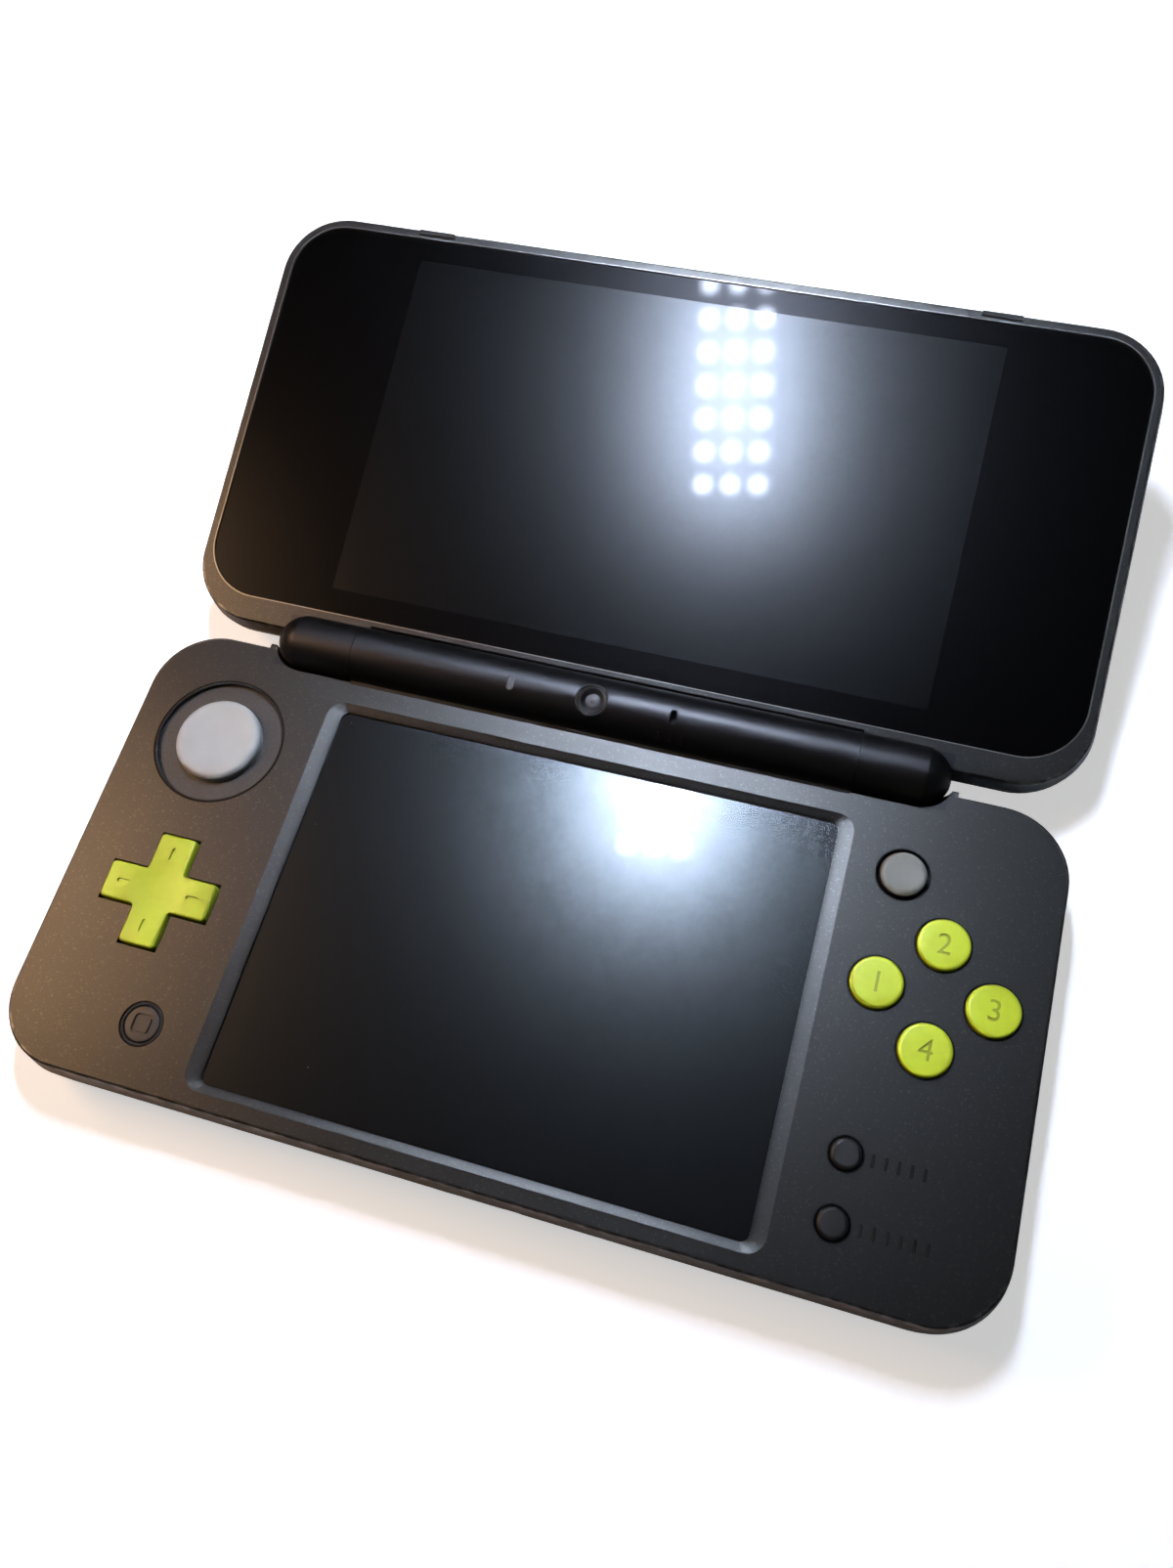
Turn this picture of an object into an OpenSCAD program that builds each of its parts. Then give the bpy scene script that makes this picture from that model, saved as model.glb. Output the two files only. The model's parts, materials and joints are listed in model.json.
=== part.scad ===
// Clamshell handheld game console, shown lying open.
// The origin is the middle of the underside of the lower case: X right, Y towards the hinge, Z up.
// The lid is drawn closed and turned about the hinge to its open position.

/* [Case] */
// Width of both halves
case_w = 160; // [156:0.5:170]
// Depth of both halves, front edge to rear edge
case_d = 80; // [79:0.5:90]
// Height of the lower case
base_h = 12.4; // [12.2:0.1:14]
// Thickness of the lid
lid_h = 7.2; // [6.8:0.1:9]
// Gap between the two halves when shut
fold_gap = 1.2; // [1:0.1:1.6]
// Corner radius of both halves, seen from above
corner_r = 12; // [10:0.5:14]
// Thickness of the side walls
wall = 1.5; // [1.2:0.1:1.8]
// Thickness of the back cover's floor
floor_t = 1.4; // [1.2:0.1:1.6]
// Thickness of the top plate with the controls
plate_t = 1.5; // [1.4:0.1:1.6]
// How far both cases' sides lean in between the seam and the inner face
side_lean = 0.8; // [0.4:0.1:0.9]
// Rounding of the lower case's bottom edge
base_round = 2.4; // [1.5:0.1:2.6]
// Rounding of the lid's outer edge
lid_round = 2; // [1.5:0.1:2.4]
// Height of the seam between the back cover and the top frame
seam_z = 8.2; // [8.1:0.1:8.4]

/* [Hinge] */
// Angle of the open lid from its shut position
lid_open = 164.55; // [150:0.05:170]
// Radius of the hinge barrel
barrel_r = 5; // [4.8:0.1:5.2]
// Distance of the hinge axis behind the rear edge
axis_back = 1.4; // [1.2:0.1:1.6]
// Distance from the case's side to the barrel's middle part, which belongs to the lower case
barrel_side = 36.2; // [35.5:0.1:37]
// Length of a knuckle up to its domed end
knuckle_len = 11; // [10.5:0.1:11.5]
// Length of a knuckle's domed end
dome_len = 4.1; // [3.6:0.1:4.3]
// Clearance round the lid's knuckles in the lower case
pocket_gap = 0.5; // [0.4:0.05:0.6]
// Clearance round the barrel's middle part in the lid
recess_gap = 0.9; // [0.6:0.05:1]
// Seam between the barrel's middle part and a knuckle
knuckle_seam = 0.15; // [0.1:0.05:0.25]
// Radius of the hinge shafts
shaft_r = 2; // [1.8:0.1:2.2]
// Running clearance of the hinge shafts
shaft_fit = 0.05; // [0.03:0.01:0.08]
// Length of a hinge shaft's bearing in the middle part
bearing_len = 5.8; // [5:0.1:8]

/* [Touch screen] */
// Width of the case beside the window, on each side
window_side = 36.6; // [36.4:0.1:37]
// Depth of the case in front of the window
window_front = 4.75; // [4.5:0.05:5.5]
// Depth of the case behind the window
window_back = 9.4; // [9.2:0.05:10]
// Width of the sloped frame at the window's sides
slope_side = 2.4; // [1.5:0.1:3]
// Width of the sloped frame at the window's front and rear
slope_end = 1.4; // [1:0.1:1.8]
// Depth of the sloped frame
slope_drop = 0.8; // [0.5:0.1:0.9]
// Depth of the glass below the top face
glass_drop = 1.1; // [1:0.05:1.2]
// Thickness of the touch glass
touch_t = 0.8; // [0.6:0.05:0.9]
// Thickness of the lower display
lower_lcd_t = 1.5; // [1.2:0.1:1.6]

/* [Lid screen] */
// Width of the frame's rim beside the lid glass
lid_rim = 1.5; // [1.2:0.05:1.8]
// Width of the frame's rim at the lid's free edge
lid_rim_top = 1.5; // [1.2:0.05:1.8]
// Width of the bare strip between the lid glass and the hinge edge
lid_strip = 5.3; // [5:0.1:6]
// Depth of the lid glass below the frame
lid_glass_drop = 0.3; // [0.2:0.05:0.4]
// Thickness of the lid glass
lid_glass_t = 1; // [0.8:0.05:1.1]
// Thickness of the lid's inner frame
lid_frame_t = 3.2; // [3:0.1:3.4]
// Width of the upper display's picture
picture_w = 106.2; // [100:0.1:108]
// Distance from the hinge edge to the picture
picture_back = 9.8; // [9:0.1:11]
// Distance from the lid's free edge to the picture
picture_front = 6.5; // [5.5:0.1:7.5]
// Dark border of the display round the picture
lcd_border = 1.6; // [1.2:0.1:2]
// Thickness of the upper display
upper_lcd_t = 2.4; // [2:0.1:2.6]

/* [Circle pad] */
// Distance of the circle pad's middle from the left side
pad_side = 17.3; // [16.8:0.1:18]
// Distance of the circle pad's middle from the rear edge
pad_back = 20.1; // [19.5:0.1:21]
// Radius of the round opening
pad_hole_r = 11.4; // [11:0.1:11.6]
// Radius of the thumb cap
pad_cap_r = 7.5; // [7:0.1:7.8]
// Radius of the dark disc under the cap
pad_skirt_r = 12; // [11.8:0.1:12.1]
// Travel of the pad each way
pad_travel = 2.2; // [1.8:0.1:2.3]

/* [Direction pad] */
// Distance of the cross's middle from the left side
cross_side = 18.2; // [17.5:0.1:18.8]
// Distance of the cross's middle from the rear edge
cross_back = 48.1; // [47.5:0.05:49]
// Length across the cross
cross_span = 19.1; // [18:0.1:19.6]
// Width of an arm
cross_arm = 6.4; // [6:0.1:7]
// Gap round the cross in the top plate
cross_gap = 0.35; // [0.3:0.05:0.45]

/* [Buttons] */
// Distance of the face buttons' middle from the right side
face_side = 17.6; // [17:0.05:18]
// Distance of the face buttons' middle from the rear edge
face_back = 33.85; // [33.5:0.05:34.5]
// Distance of the left and right face buttons from their middle
face_dx = 8.7; // [8.5:0.1:9]
// Distance of the front and rear face buttons from their middle
face_dy = 8.25; // [8.1:0.05:8.6]
// Radius of a face button
face_r = 4.05; // [3.8:0.05:4.1]
// Radius of the small round buttons
small_r = 2.35; // [2.2:0.05:2.6]
// Distance of the small round buttons from the right side
small_side = 25.8; // [25:0.1:26.5]
// Distance of the front small button from the front edge
small_front = 10.6; // [10:0.1:11.2]
// Distance between the two small round buttons
small_pitch = 9.8; // [9.5:0.1:10.5]
// Radius of the home button
home_r = 2.95; // [2.8:0.05:3.2]
// Radius of the dished ring round the home button
home_ring_r = 3.7; // [3.6:0.05:3.9]
// Distance of the home button from the left side
home_side = 24.3; // [23.5:0.1:25]
// Distance of the home button from the front edge
home_front = 10.8; // [10:0.05:11.5]
// Height of the face buttons above the top face
button_proud = 1; // [0.7:0.05:1]
// Travel of a button
button_travel = 0.9; // [0.6:0.05:0.9]
// Gap round a button in the top plate
button_gap = 0.15; // [0.1:0.05:0.2]
// Radius of the small right stick
nub_r = 3.7; // [3.4:0.1:3.8]
// Gap round the small right stick
nub_gap = 0.44; // [0.4:0.02:0.5]
// Distance of the small right stick from the right side
nub_side = 25.5; // [25:0.05:26]
// Distance of the small right stick from the rear edge
nub_back = 15.85; // [15.5:0.05:16.2]

/* [Inside] */
// Height of the circuit board's underside
board_z = 6.8; // [6.7:0.05:7]
// Thickness of the circuit board
board_t = 1; // [0.8:0.1:1.1]
// Distance of the battery from the right side
battery_side = 29; // [28.5:0.5:34]
// Distance of the battery from the rear edge
battery_back = 15; // [15:0.5:25]
// Thickness of the battery
battery_t = 4.8; // [4:0.1:5]

/* [Edges] */
// Radius of the round socket for headphones
jack_r = 1.8; // [1.78:0.01:1.85]
// Depth of the round socket for headphones
jack_len = 14; // [12:0.5:15]
// Radius of the stylus
stylus_r = 2.1; // [1.8:0.1:2.2]
// Length of the stylus
stylus_len = 62; // [50:1:63]
// Width of the card door
door_w = 40; // [38:0.5:41]
// Height of the card door
door_h = 6; // [5.6:0.1:6]

/* [Hidden] */
$fn = 48;
EPS = 0.01;
CHARCOAL = "#39383a";
BLACK = "#1c1c1e";
GLASS = "#101114";
LIME = "#c2d141";
PALE = "#b9b9b7";
GREY = "#8d8d85";
METAL = "#a9adb2";
GREEN = "#2f5b3f";

// Heights of the faces, and the hinge axis
top_z = base_h - plate_t;
hinge_y = case_d / 2 + axis_back;
hinge_z = base_h;
lid_z = base_h + fold_gap;
lid_seam_z = lid_z + lid_frame_t;
lid_outer_z = lid_z + lid_h;
lid_plate_t = 1.3;
edge_soft = 0.4;
dome_back = 0.6;
barrel_half = case_w / 2 - barrel_side;
dome_x = barrel_half + knuckle_len;
shaft_end = dome_x - 2.6;
shaft_start = barrel_half - bearing_len - 1.4;

// Lower case
inner_w = case_w - 2 * wall;
inner_d = case_d - 2 * wall;
skirt_half = dome_x + dome_len + 1.7;
skirt_front = hinge_y - barrel_r - pocket_gap - 1.5;
skirt_z = 6;
face_gap = 0.1;
boss_r = 2.4;
screw_r = 0.95;
screw_head_r = 1.8;
boss_room = 0.4;

// Lower window, touch glass and display
window_w = case_w - 2 * window_side;
window_d = case_d - window_front - window_back;
window_y = -case_d / 2 + window_front + window_d / 2;
window_round = 1.5;
slope_round = 3;
glass_lap = 1.2;
glass_z = base_h - glass_drop;
lower_lcd_z = glass_z - touch_t - 0.05;

// Screws of the back cover: two at the front corners, two behind the window
corner_screw = [case_w / 2 - 6.8, -case_d / 2 + 8];
rear_screw = [window_w / 2 + 3.8, case_d / 2 - 12];
screw_places = [for (side = [-1, 1], p = [corner_screw, rear_screw]) [side * p[0], p[1]]];

// Circuit board and button mats
board_top = board_z + board_t;
board_front = -inner_d / 2 + 2;
board_rear = skirt_front - 0.6;
board_half = inner_w / 2 - 1.5;
board_waist = window_w / 2 + 2.6;
board_step = 8.5;
mat_t = 0.4;
dome_h = 0.3;
key_flange = 0.9;
key_flange_t = 0.8;
key_stem_z = board_top + mat_t + dome_h + button_travel + 0.1;
key_top = base_h + button_proud;
home_drop = 0.2;
home_dish = 0.3;
home_gap = 0.55;
cam_tilt = 14.6;
cam_x = -0.5;
light_x = -14.8;
mic_x = 13.4;
slot_w = 1.2;
slot_l = 2.6;
cam_r = 2.8;

// Circle pad
pad_housing_r = 14;
pad_at = [-case_w / 2 + pad_side, case_d / 2 - pad_back];
pad_skirt_t = 0.5;
pad_pocket_d = 0.7;
pad_pocket_r = pad_skirt_r + sqrt(2) * pad_travel + 0.15;
pad_skirt_z = top_z + pad_pocket_d - 0.1 - pad_skirt_t;
carriage_w = 15;
carriage_t = 0.7;
carriage_z = pad_skirt_z - 0.1 - carriage_t;
pad_floor_z = carriage_z - 0.1;
pad_stem_r = 2.5;

// Direction pad and small stick
cross_at = [-case_w / 2 + cross_side, case_d / 2 - cross_back];
cross_top = base_h + button_proud - 0.15;
cross_flange_r = 9.9;
cross_flange_z = top_z - 1.5;
cross_flange_t = 0.7;
tip_z = 8.9;
nub_at = [case_w / 2 - nub_side, case_d / 2 - nub_back];
nub_top = base_h + 0.9;

// Face buttons, small round buttons and home button
face_at = [case_w / 2 - face_side, case_d / 2 - face_back];
small_x = case_w / 2 - small_side;
small_ys = [-case_d / 2 + small_front, -case_d / 2 + small_front + small_pitch];
home_at = [-case_w / 2 + home_side, -case_d / 2 + home_front];

// Lid
lid_glass_w = case_w - 2 * (side_lean + lid_rim);
lid_glass_d = case_d - lid_strip - side_lean - lid_rim_top;
lid_glass_y = case_d / 2 - lid_strip - lid_glass_d / 2;
lid_glass_z = lid_z + lid_glass_drop;
lid_glass_r = corner_r - side_lean - lid_rim;
lid_seat_z = lid_glass_z + lid_glass_t;
lcd_w = picture_w + 2 * lcd_border;
picture_d = case_d - picture_back - picture_front;
lcd_d = picture_d + 2 * lcd_border;
lcd_y = case_d / 2 - picture_back - picture_d / 2;
lid_cavity_back = hinge_y - barrel_r;
lid_screw_x = case_w / 2 - 14;
lid_screw_places = [for (x = [-lid_screw_x, lid_screw_x], y = [-case_d / 2 + 10, case_d / 2 - 11]) [x, y]];
magnet_size = [3, 8, 1.5];
magnet_at = [case_w / 2 - 8.5, -2];
bumper_w = 6.9;
bumper_d = 0.9;
bumper_front = -case_d / 2 + side_lean;
bumper_x = 51.2;

// Front edge
door_x = -case_w / 2 + 50;
door_z = 2;
door_t = 1;
door_pin_r = 0.5;
door_barrel_r = 0.8;
door_axis_y = -case_d / 2 + door_barrel_r;
door_axis_z = door_z + door_barrel_r;
card_slot_w = 38;
card_slot_d = 35.5;
card_w = 34.4;
card_slot_wall = 0.4;
jack_x = door_x + 27;
jack_z = 4.4;
jack_half = 3.3;
stylus_x = jack_x + 11;
stylus_z = 4.1;
power_x = case_w / 2 - 34;
power_z = 5;
power_w = 7;
power_h = 2.4;
power_light_x = power_x + 8;

// Battery, memory card socket and wireless module under the board
battery_from = [stylus_x + 5, -inner_d / 2 + 2.5];
battery_to = [case_w / 2 - battery_side, case_d / 2 - battery_back];
memory_size = [14, 15, 1.6];
memory_from = [case_w / 2 - 26, -case_d / 2 + 20];
memory_wall = 1.2;
wireless_size = [16, 18, 1.4];
wireless_at = [case_w / 2 - 16, face_at[1] + 2.25];

// Rear and side edges
shoulder_x = case_w / 2 - 18.8;
shoulder_y = case_d / 2 - 11.5;
shoulder_z = 3.2;
shoulder_h = 4.6;
shoulder_play = 0.9;
shoulder_pin = [case_w / 2 - 17.2, case_d / 2 - 3.6];
shoulder_pin_r = 0.6;
trigger_x = shoulder_x - 9.2;
trigger_w = 12;
trigger_flange = 1;
edge_key_z = 2.4;
edge_key_h = 3.4;
slider_y = -1;
slider_l = 5;
slider_travel = 3.5;
slider_z = 5;
slider_h = 1.6;
port_w = 8.2;
ir_x = 18;
ir_w = 8;
outer_cam_x = 17.5;
outer_cam_y = case_d / 2 - 8.8;
outer_cam_half = 4;
outer_cam_top = 5.2;
speaker_x = case_w / 2 - 20;
speaker_y = -case_d / 2 + 8;
speaker_size = [15, 8, 3.6];
speaker_rim = 1;
speaker_pitch = 2.6;
speaker_slot = [1.2, 6];

// Rounded rectangle, centred
module plan(w, d, r) {
  square([w - 2 * r, d], center = true);
  square([w, d - 2 * r], center = true);
  for (sx = [-1, 1], sy = [-1, 1])
    translate([sx * (w / 2 - r), sy * (d / 2 - r)]) circle(r = r);
}

// What a fillet takes off a corner that points right and down
module fillet_waste(r) {
  difference() {
    translate([-r, -1]) square([r + 1, r + 1]);
    translate([-r, r]) circle(r = r);
  }
}

// Cross-section of a case's edge, from the corner's centre line out to the outline
module edge_section(rc, h, low, high) {
  difference() {
    square([rc, h]);
    if (low > 0) translate([rc, 0]) fillet_waste(low);
    if (high > 0) translate([rc, h]) mirror([0, 1]) fillet_waste(high);
  }
}

// The same, with a side that leans in towards a rounded upper edge
module leaning_section(rc, h, soft, lean) {
  tilt = atan(lean / h);
  middle = [rc - lean * (h - soft) / h - soft / cos(tilt), h - soft];
  side_end = middle + soft * [cos(tilt), sin(tilt)];
  polygon([[0, 0], [rc, 0], side_end, middle, [middle[0], h], [0, h]]);
  translate(middle) circle(r = soft);
}

// Slab with round corners that carries a cross-section all the way round its edge
module edged_slab(w, d, rc, h) {
  for (quarter = [0:3]) {
    sx = (quarter == 0 || quarter == 3) ? 1 : -1;
    sy = quarter < 2 ? 1 : -1;
    translate([sx * (w / 2 - rc), sy * (d / 2 - rc), 0])
      rotate([0, 0, 90 * quarter])
        rotate_extrude(angle = 90) children();
  }
  for (side = [0, 180]) {
    rotate([0, 0, side]) translate([w / 2 - rc, 0, 0]) rotate([90, 0, 0])
      linear_extrude(height = d - 2 * rc, center = true) children();
    rotate([0, 0, side]) translate([0, d / 2 - rc, 0]) rotate([90, 0, 90])
      linear_extrude(height = w - 2 * rc, center = true) children();
  }
  translate([0, 0, h / 2]) cube([w - 2 * rc, d - 2 * rc, h], center = true);
}

// Slab with fillets round its lower and upper edges
module edge_slab(w, d, rc, h, low = 0, high = 0) {
  edged_slab(w, d, rc, h) edge_section(rc, h, low, high);
}

// Slab of a case's outline whose sides lean in towards its upper face
module leaning_slab(h) {
  edged_slab(case_w, case_d, corner_r, h) leaning_section(corner_r, h, edge_soft, side_lean);
}

// Cylinder lying along X, from x0 to x1
module rod_x(r, x0, x1) {
  translate([x0, 0, 0]) rotate([0, 90, 0]) cylinder(r = r, h = x1 - x0);
}

// Cylinder lying along Y, from y0 to y1
module rod_y(r, y0, y1) {
  translate([0, y1, 0]) rotate([90, 0, 0]) cylinder(r = r, h = y1 - y0);
}

// Box from one corner to the other
module block(low, high) {
  translate(low) cube(high - low);
}

// Puts its children on the hinge axis
module on_hinge() {
  translate([0, hinge_y, hinge_z]) children();
}

// Turns its children, drawn in the shut lid, to the open position
module in_lid() {
  on_hinge() rotate([-lid_open, 0, 0]) translate([0, -hinge_y, -hinge_z]) children();
}

// The right-hand one of a pair, or its mirror image on the left
module on_side(side) {
  mirror([side < 0 ? 1 : 0, 0, 0]) children();
}

// Knuckle of the hinge on the right, with its domed end
module knuckle_form(r, start) {
  translate([start, 0, 0]) rotate([0, 90, 0]) rotate_extrude() {
    square([r, dome_x - start]);
    translate([0, dome_x - dome_back - start]) intersection() {
      circle(r = r - 0.1);
      translate([0, dome_back - EPS]) square([r, dome_len + EPS]);
    }
  }
}

// Room for a knuckle on the right
module knuckle_pocket(r, start) {
  rod_x(r, start, dome_x - dome_back);
  translate([dome_x - dome_back, 0, 0]) sphere(r = r);
}

// Turned profile with a rounded top edge
module round_cap(r, h, soft) {
  rotate_extrude() {
    square([r - soft, h]);
    square([r, h - soft]);
    translate([r - soft, h - soft]) intersection() {
      circle(r = soft);
      square([soft, soft]);
    }
  }
}

// Slot through the barrel's wall, drawn on the hinge axis
module barrel_slot(w, l, z0, z1) {
  translate([0, 0, z0]) linear_extrude(height = z1 - z0) {
    square([w, l - w], center = true);
    for (s = [-1, 1]) translate([0, s * (l - w) / 2]) circle(r = w / 2);
  }
}

// ---- Lower case ----

module screw_bosses(z0, z1) {
  for (p = screw_places)
    translate([p[0], p[1], z0]) cylinder(r = boss_r, h = z1 - z0);
}

module back_cover() color(BLACK) difference() {
  union() {
    difference() {
      edge_slab(case_w, case_d, corner_r, seam_z, low = base_round);
      translate([0, 0, floor_t])
        edge_slab(inner_w, inner_d, corner_r - wall, seam_z, low = base_round - floor_t);
    }
    screw_bosses(floor_t - EPS, seam_z - face_gap / 2);
    for (side = [-1, 1])
      translate([side * shoulder_pin[0], shoulder_pin[1], floor_t - EPS])
        cylinder(r = shoulder_pin_r, h = shoulder_z + shoulder_h - floor_t);
  }
  block([-skirt_half - face_gap, case_d / 2 - wall - 0.5, skirt_z],
    [skirt_half + face_gap, case_d / 2 + 1, seam_z + 1]);
  screw_holes();
  door_opening();
  translate([jack_x, 0, jack_z]) rod_y(jack_r + 1.15, -case_d / 2 - 1, -inner_d / 2 + 1);
  translate([stylus_x, 0, stylus_z]) rod_y(stylus_r + 0.35, -case_d / 2 - 1, -inner_d / 2 + 1);
  translate([power_x, -case_d / 2 - 1, power_z]) rotate([-90, 0, 0])
    linear_extrude(height = wall + 2) plan(power_w + 0.3, power_h + 0.3, power_h / 2);
  block([power_light_x - 1.3, -case_d / 2 - 1, power_z - 0.6],
    [power_light_x + 1.3, -inner_d / 2 + 1, power_z + 0.6]);
  block([-case_w / 2 - 1, slider_y - slider_travel - slider_l / 2 - 0.2, slider_z - slider_h / 2 - 0.1],
    [-inner_w / 2 + 1, slider_y + slider_travel + slider_l / 2 + 0.2, slider_z + slider_h / 2 + 0.1]);
  for (side = [-1, 1]) on_side(side) {
    block([shoulder_x - 0.3, shoulder_y - shoulder_play, shoulder_z - 0.2],
      [case_w / 2 + 1, case_d / 2 + 1, seam_z + 1]);
    rear_notch(trigger_x, trigger_w + 0.6);
    translate([outer_cam_x, outer_cam_y, -1]) cylinder(r = cam_r + 0.1, h = floor_t + 2);
    for (i = [-2:2])
      translate([speaker_x + i * speaker_pitch, speaker_y, 1])
        cube([speaker_slot[0], speaker_slot[1], 4], center = true);
  }
  rear_notch(0, port_w + 0.3);
  rear_notch(ir_x, ir_w + 0.3);
}

// Opening in the rear wall for a key or a socket
module rear_notch(x, w) {
  block([x - w / 2, inner_d / 2 - 1, edge_key_z - 0.2], [x + w / 2, case_d / 2 + 1, skirt_z + EPS]);
}

module screw_holes() {
  for (p = screw_places) translate([p[0], p[1], -1]) {
    cylinder(r = screw_head_r + 0.2, h = 2.3);
    cylinder(r = screw_r + 0.15, h = seam_z + 2);
  }
}

module door_opening() {
  block([door_x - door_w / 2 - 0.1, -case_d / 2 - 1, door_z - 0.2],
    [door_x + door_w / 2 + 0.1, -inner_d / 2 + 1, seam_z + 1]);
  translate([door_x, door_axis_y, door_axis_z])
    rod_x(door_pin_r + shaft_fit, -door_w / 2 - 1, door_w / 2 + 1);
}

module window_cut() {
  translate([0, window_y, 0]) {
    translate([0, 0, glass_z - EPS]) linear_extrude(height = glass_drop + 1)
      plan(window_w, window_d, window_round);
    hull() {
      translate([0, 0, base_h - slope_drop]) linear_extrude(height = EPS)
        plan(window_w, window_d, window_round, $fn = 32);
      translate([0, 0, base_h]) linear_extrude(height = EPS)
        plan(window_w + 2 * slope_side, window_d + 2 * slope_end, slope_round, $fn = 32);
    }
    translate([0, 0, top_z - 1]) linear_extrude(height = glass_z - top_z + 1)
      plan(window_w + 2 * glass_lap + 0.3, window_d + 2 * glass_lap + 0.3, window_round + glass_lap);
  }
}

module through_plate(at, r) {
  translate([at[0], at[1], top_z - 1]) cylinder(r = r, h = plate_t + 2);
}

module control_openings() {
  through_plate(pad_at, pad_hole_r);
  translate([pad_at[0], pad_at[1], top_z - EPS]) cylinder(r = pad_pocket_r, h = pad_pocket_d + EPS);
  for (a = [0, 90]) translate([cross_at[0], cross_at[1], base_h]) rotate([0, 0, a])
    cube([cross_span + 2 * cross_gap, cross_arm + 2 * cross_gap, 2 * plate_t + 1], center = true);
  through_plate(home_at, home_r + home_gap);
  translate([home_at[0], home_at[1], base_h - home_dish]) cylinder(r = home_ring_r, h = home_dish + 1);
  through_plate(nub_at, nub_r + nub_gap);
  for (p = face_places()) through_plate(p, face_r + button_gap);
  for (y = small_ys) through_plate([small_x, y], small_r + button_gap);
}

// Places of the four face buttons: rear, left, right and front
function face_places() = [
  [face_at[0], face_at[1] + face_dy], [face_at[0] - face_dx, face_at[1]],
  [face_at[0] + face_dx, face_at[1]], [face_at[0], face_at[1] - face_dy]];

// Middle part of the hinge barrel, with its foot on the top plate
module hinge_barrel() {
  block([-skirt_half, skirt_front, skirt_z], [skirt_half, case_d / 2, base_h]);
  on_hinge() {
    rod_x(barrel_r, -barrel_half, barrel_half);
    translate([-barrel_half, 0, 0]) rotate([90, 0, 90]) linear_extrude(height = 2 * barrel_half)
      polygon([[-barrel_r - 0.8, 0], [-barrel_r - 0.25, 0.25], [-barrel_r + 0.1, 0.9], [-2, 0.9], [-2, 0]]);
  }
}

module barrel_hollows() {
  on_hinge() {
    rod_x(barrel_r - 1.1, -barrel_half + bearing_len, barrel_half - bearing_len);
    rod_x(shaft_r + shaft_fit, -barrel_half - 1, barrel_half + 1);
    for (side = [-1, 1]) on_side(side) knuckle_pocket(barrel_r + pocket_gap, barrel_half);
    rotate([cam_tilt, 0, 0]) {
      translate([cam_x, 0, 1]) cylinder(r = cam_r + 0.05, h = barrel_r);
      translate([light_x, 0, 0]) barrel_slot(slot_w, slot_l, 2, barrel_r + 1);
      translate([mic_x, 0, 0]) barrel_slot(slot_w, slot_l, 2, barrel_r + 1);
    }
  }
}

module top_frame() color(CHARCOAL) difference() {
  union() {
    difference() {
      translate([0, 0, seam_z])
        leaning_slab(base_h - seam_z);
      translate([0, 0, seam_z - 1]) linear_extrude(height = top_z - seam_z + 1)
        plan(inner_w, inner_d, corner_r - wall);
    }
    hinge_barrel();
    screw_bosses(seam_z + face_gap / 2, top_z + EPS);
  }
  barrel_hollows();
  window_cut();
  control_openings();
  for (p = screw_places) translate([p[0], p[1], seam_z - 1]) cylinder(r = screw_r + 0.02, h = 3);
}

module touch_glass() color(GLASS)
  translate([0, window_y, glass_z - touch_t]) linear_extrude(height = touch_t)
    plan(window_w + 2 * glass_lap, window_d + 2 * glass_lap, window_round + glass_lap);

module lower_display() color("#232427")
  translate([0, window_y, lower_lcd_z - lower_lcd_t]) linear_extrude(height = lower_lcd_t)
    plan(window_w + 2, window_d + 2, 1);

module circuit_board() color(GREEN) difference() {
  corner = board_half - board_step + 0.5;
  union() {
    block([-board_waist, board_front, board_z], [board_waist, board_rear, board_top]);
    block([-corner, board_front, board_z], [corner, board_front + board_step, board_top]);
    block([-board_half, board_front + board_step, board_z],
      [-board_waist, pad_at[1] - pad_housing_r - 0.9, board_top]);
    block([board_waist, board_front + board_step, board_z], [board_half, nub_at[1] - 4.45, board_top]);
    block([board_waist, nub_at[1] - 4.45, board_z], [board_half - 7, board_rear - 0.8, board_top]);
  }
  translate([pad_at[0], pad_at[1], board_z - 1]) cylinder(r = pad_housing_r + boss_room, h = board_t + 2);
  for (p = screw_places)
    translate([p[0], p[1], board_z - 1]) cylinder(r = boss_r + boss_room, h = board_t + 2);
}

module battery() color("#4a4f57") {
  w = battery_to[0] - battery_from[0];
  d = battery_to[1] - battery_from[1];
  translate([battery_from[0] + w / 2, battery_from[1] + d / 2, floor_t]) {
    linear_extrude(height = battery_t) plan(w, d, 1.5);
    block([-5, -d / 2 + 2, battery_t - EPS], [5, -d / 2 + 5, battery_t + 0.4]);
  }
}

module card_slot() color(METAL) difference() {
  rear = -inner_d / 2 + card_slot_d;
  block([door_x - card_slot_w / 2, -inner_d / 2 + 0.3, door_z], [door_x + card_slot_w / 2, rear, board_z]);
  block([door_x - card_w / 2, -case_d / 2, door_z + card_slot_wall],
    [door_x + card_w / 2, rear - 2, board_z - card_slot_wall]);
}

module memory_card_socket() color(METAL) translate([memory_from[0], memory_from[1], board_z - memory_size[2]])
  difference() {
    cube(memory_size);
    block([memory_wall, -1, card_slot_wall],
      [memory_size[0] - memory_wall, memory_size[1] - 1, memory_size[2] - card_slot_wall]);
  }

module wireless_module() color(METAL)
  translate([wireless_at[0], wireless_at[1], board_z - wireless_size[2]])
    linear_extrude(height = wireless_size[2]) plan(wireless_size[0], wireless_size[1], 1);

// ---- Circle pad, direction pad and small stick ----

module pad_housing() color(BLACK) translate([pad_at[0], pad_at[1], 0]) difference() {
  translate([0, 0, 3.4]) cylinder(r = pad_housing_r, h = carriage_z + 0.5 - 3.4);
  translate([0, 0, pad_floor_z]) cylinder(r = pad_housing_r - 0.8, h = 3);
}

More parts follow.
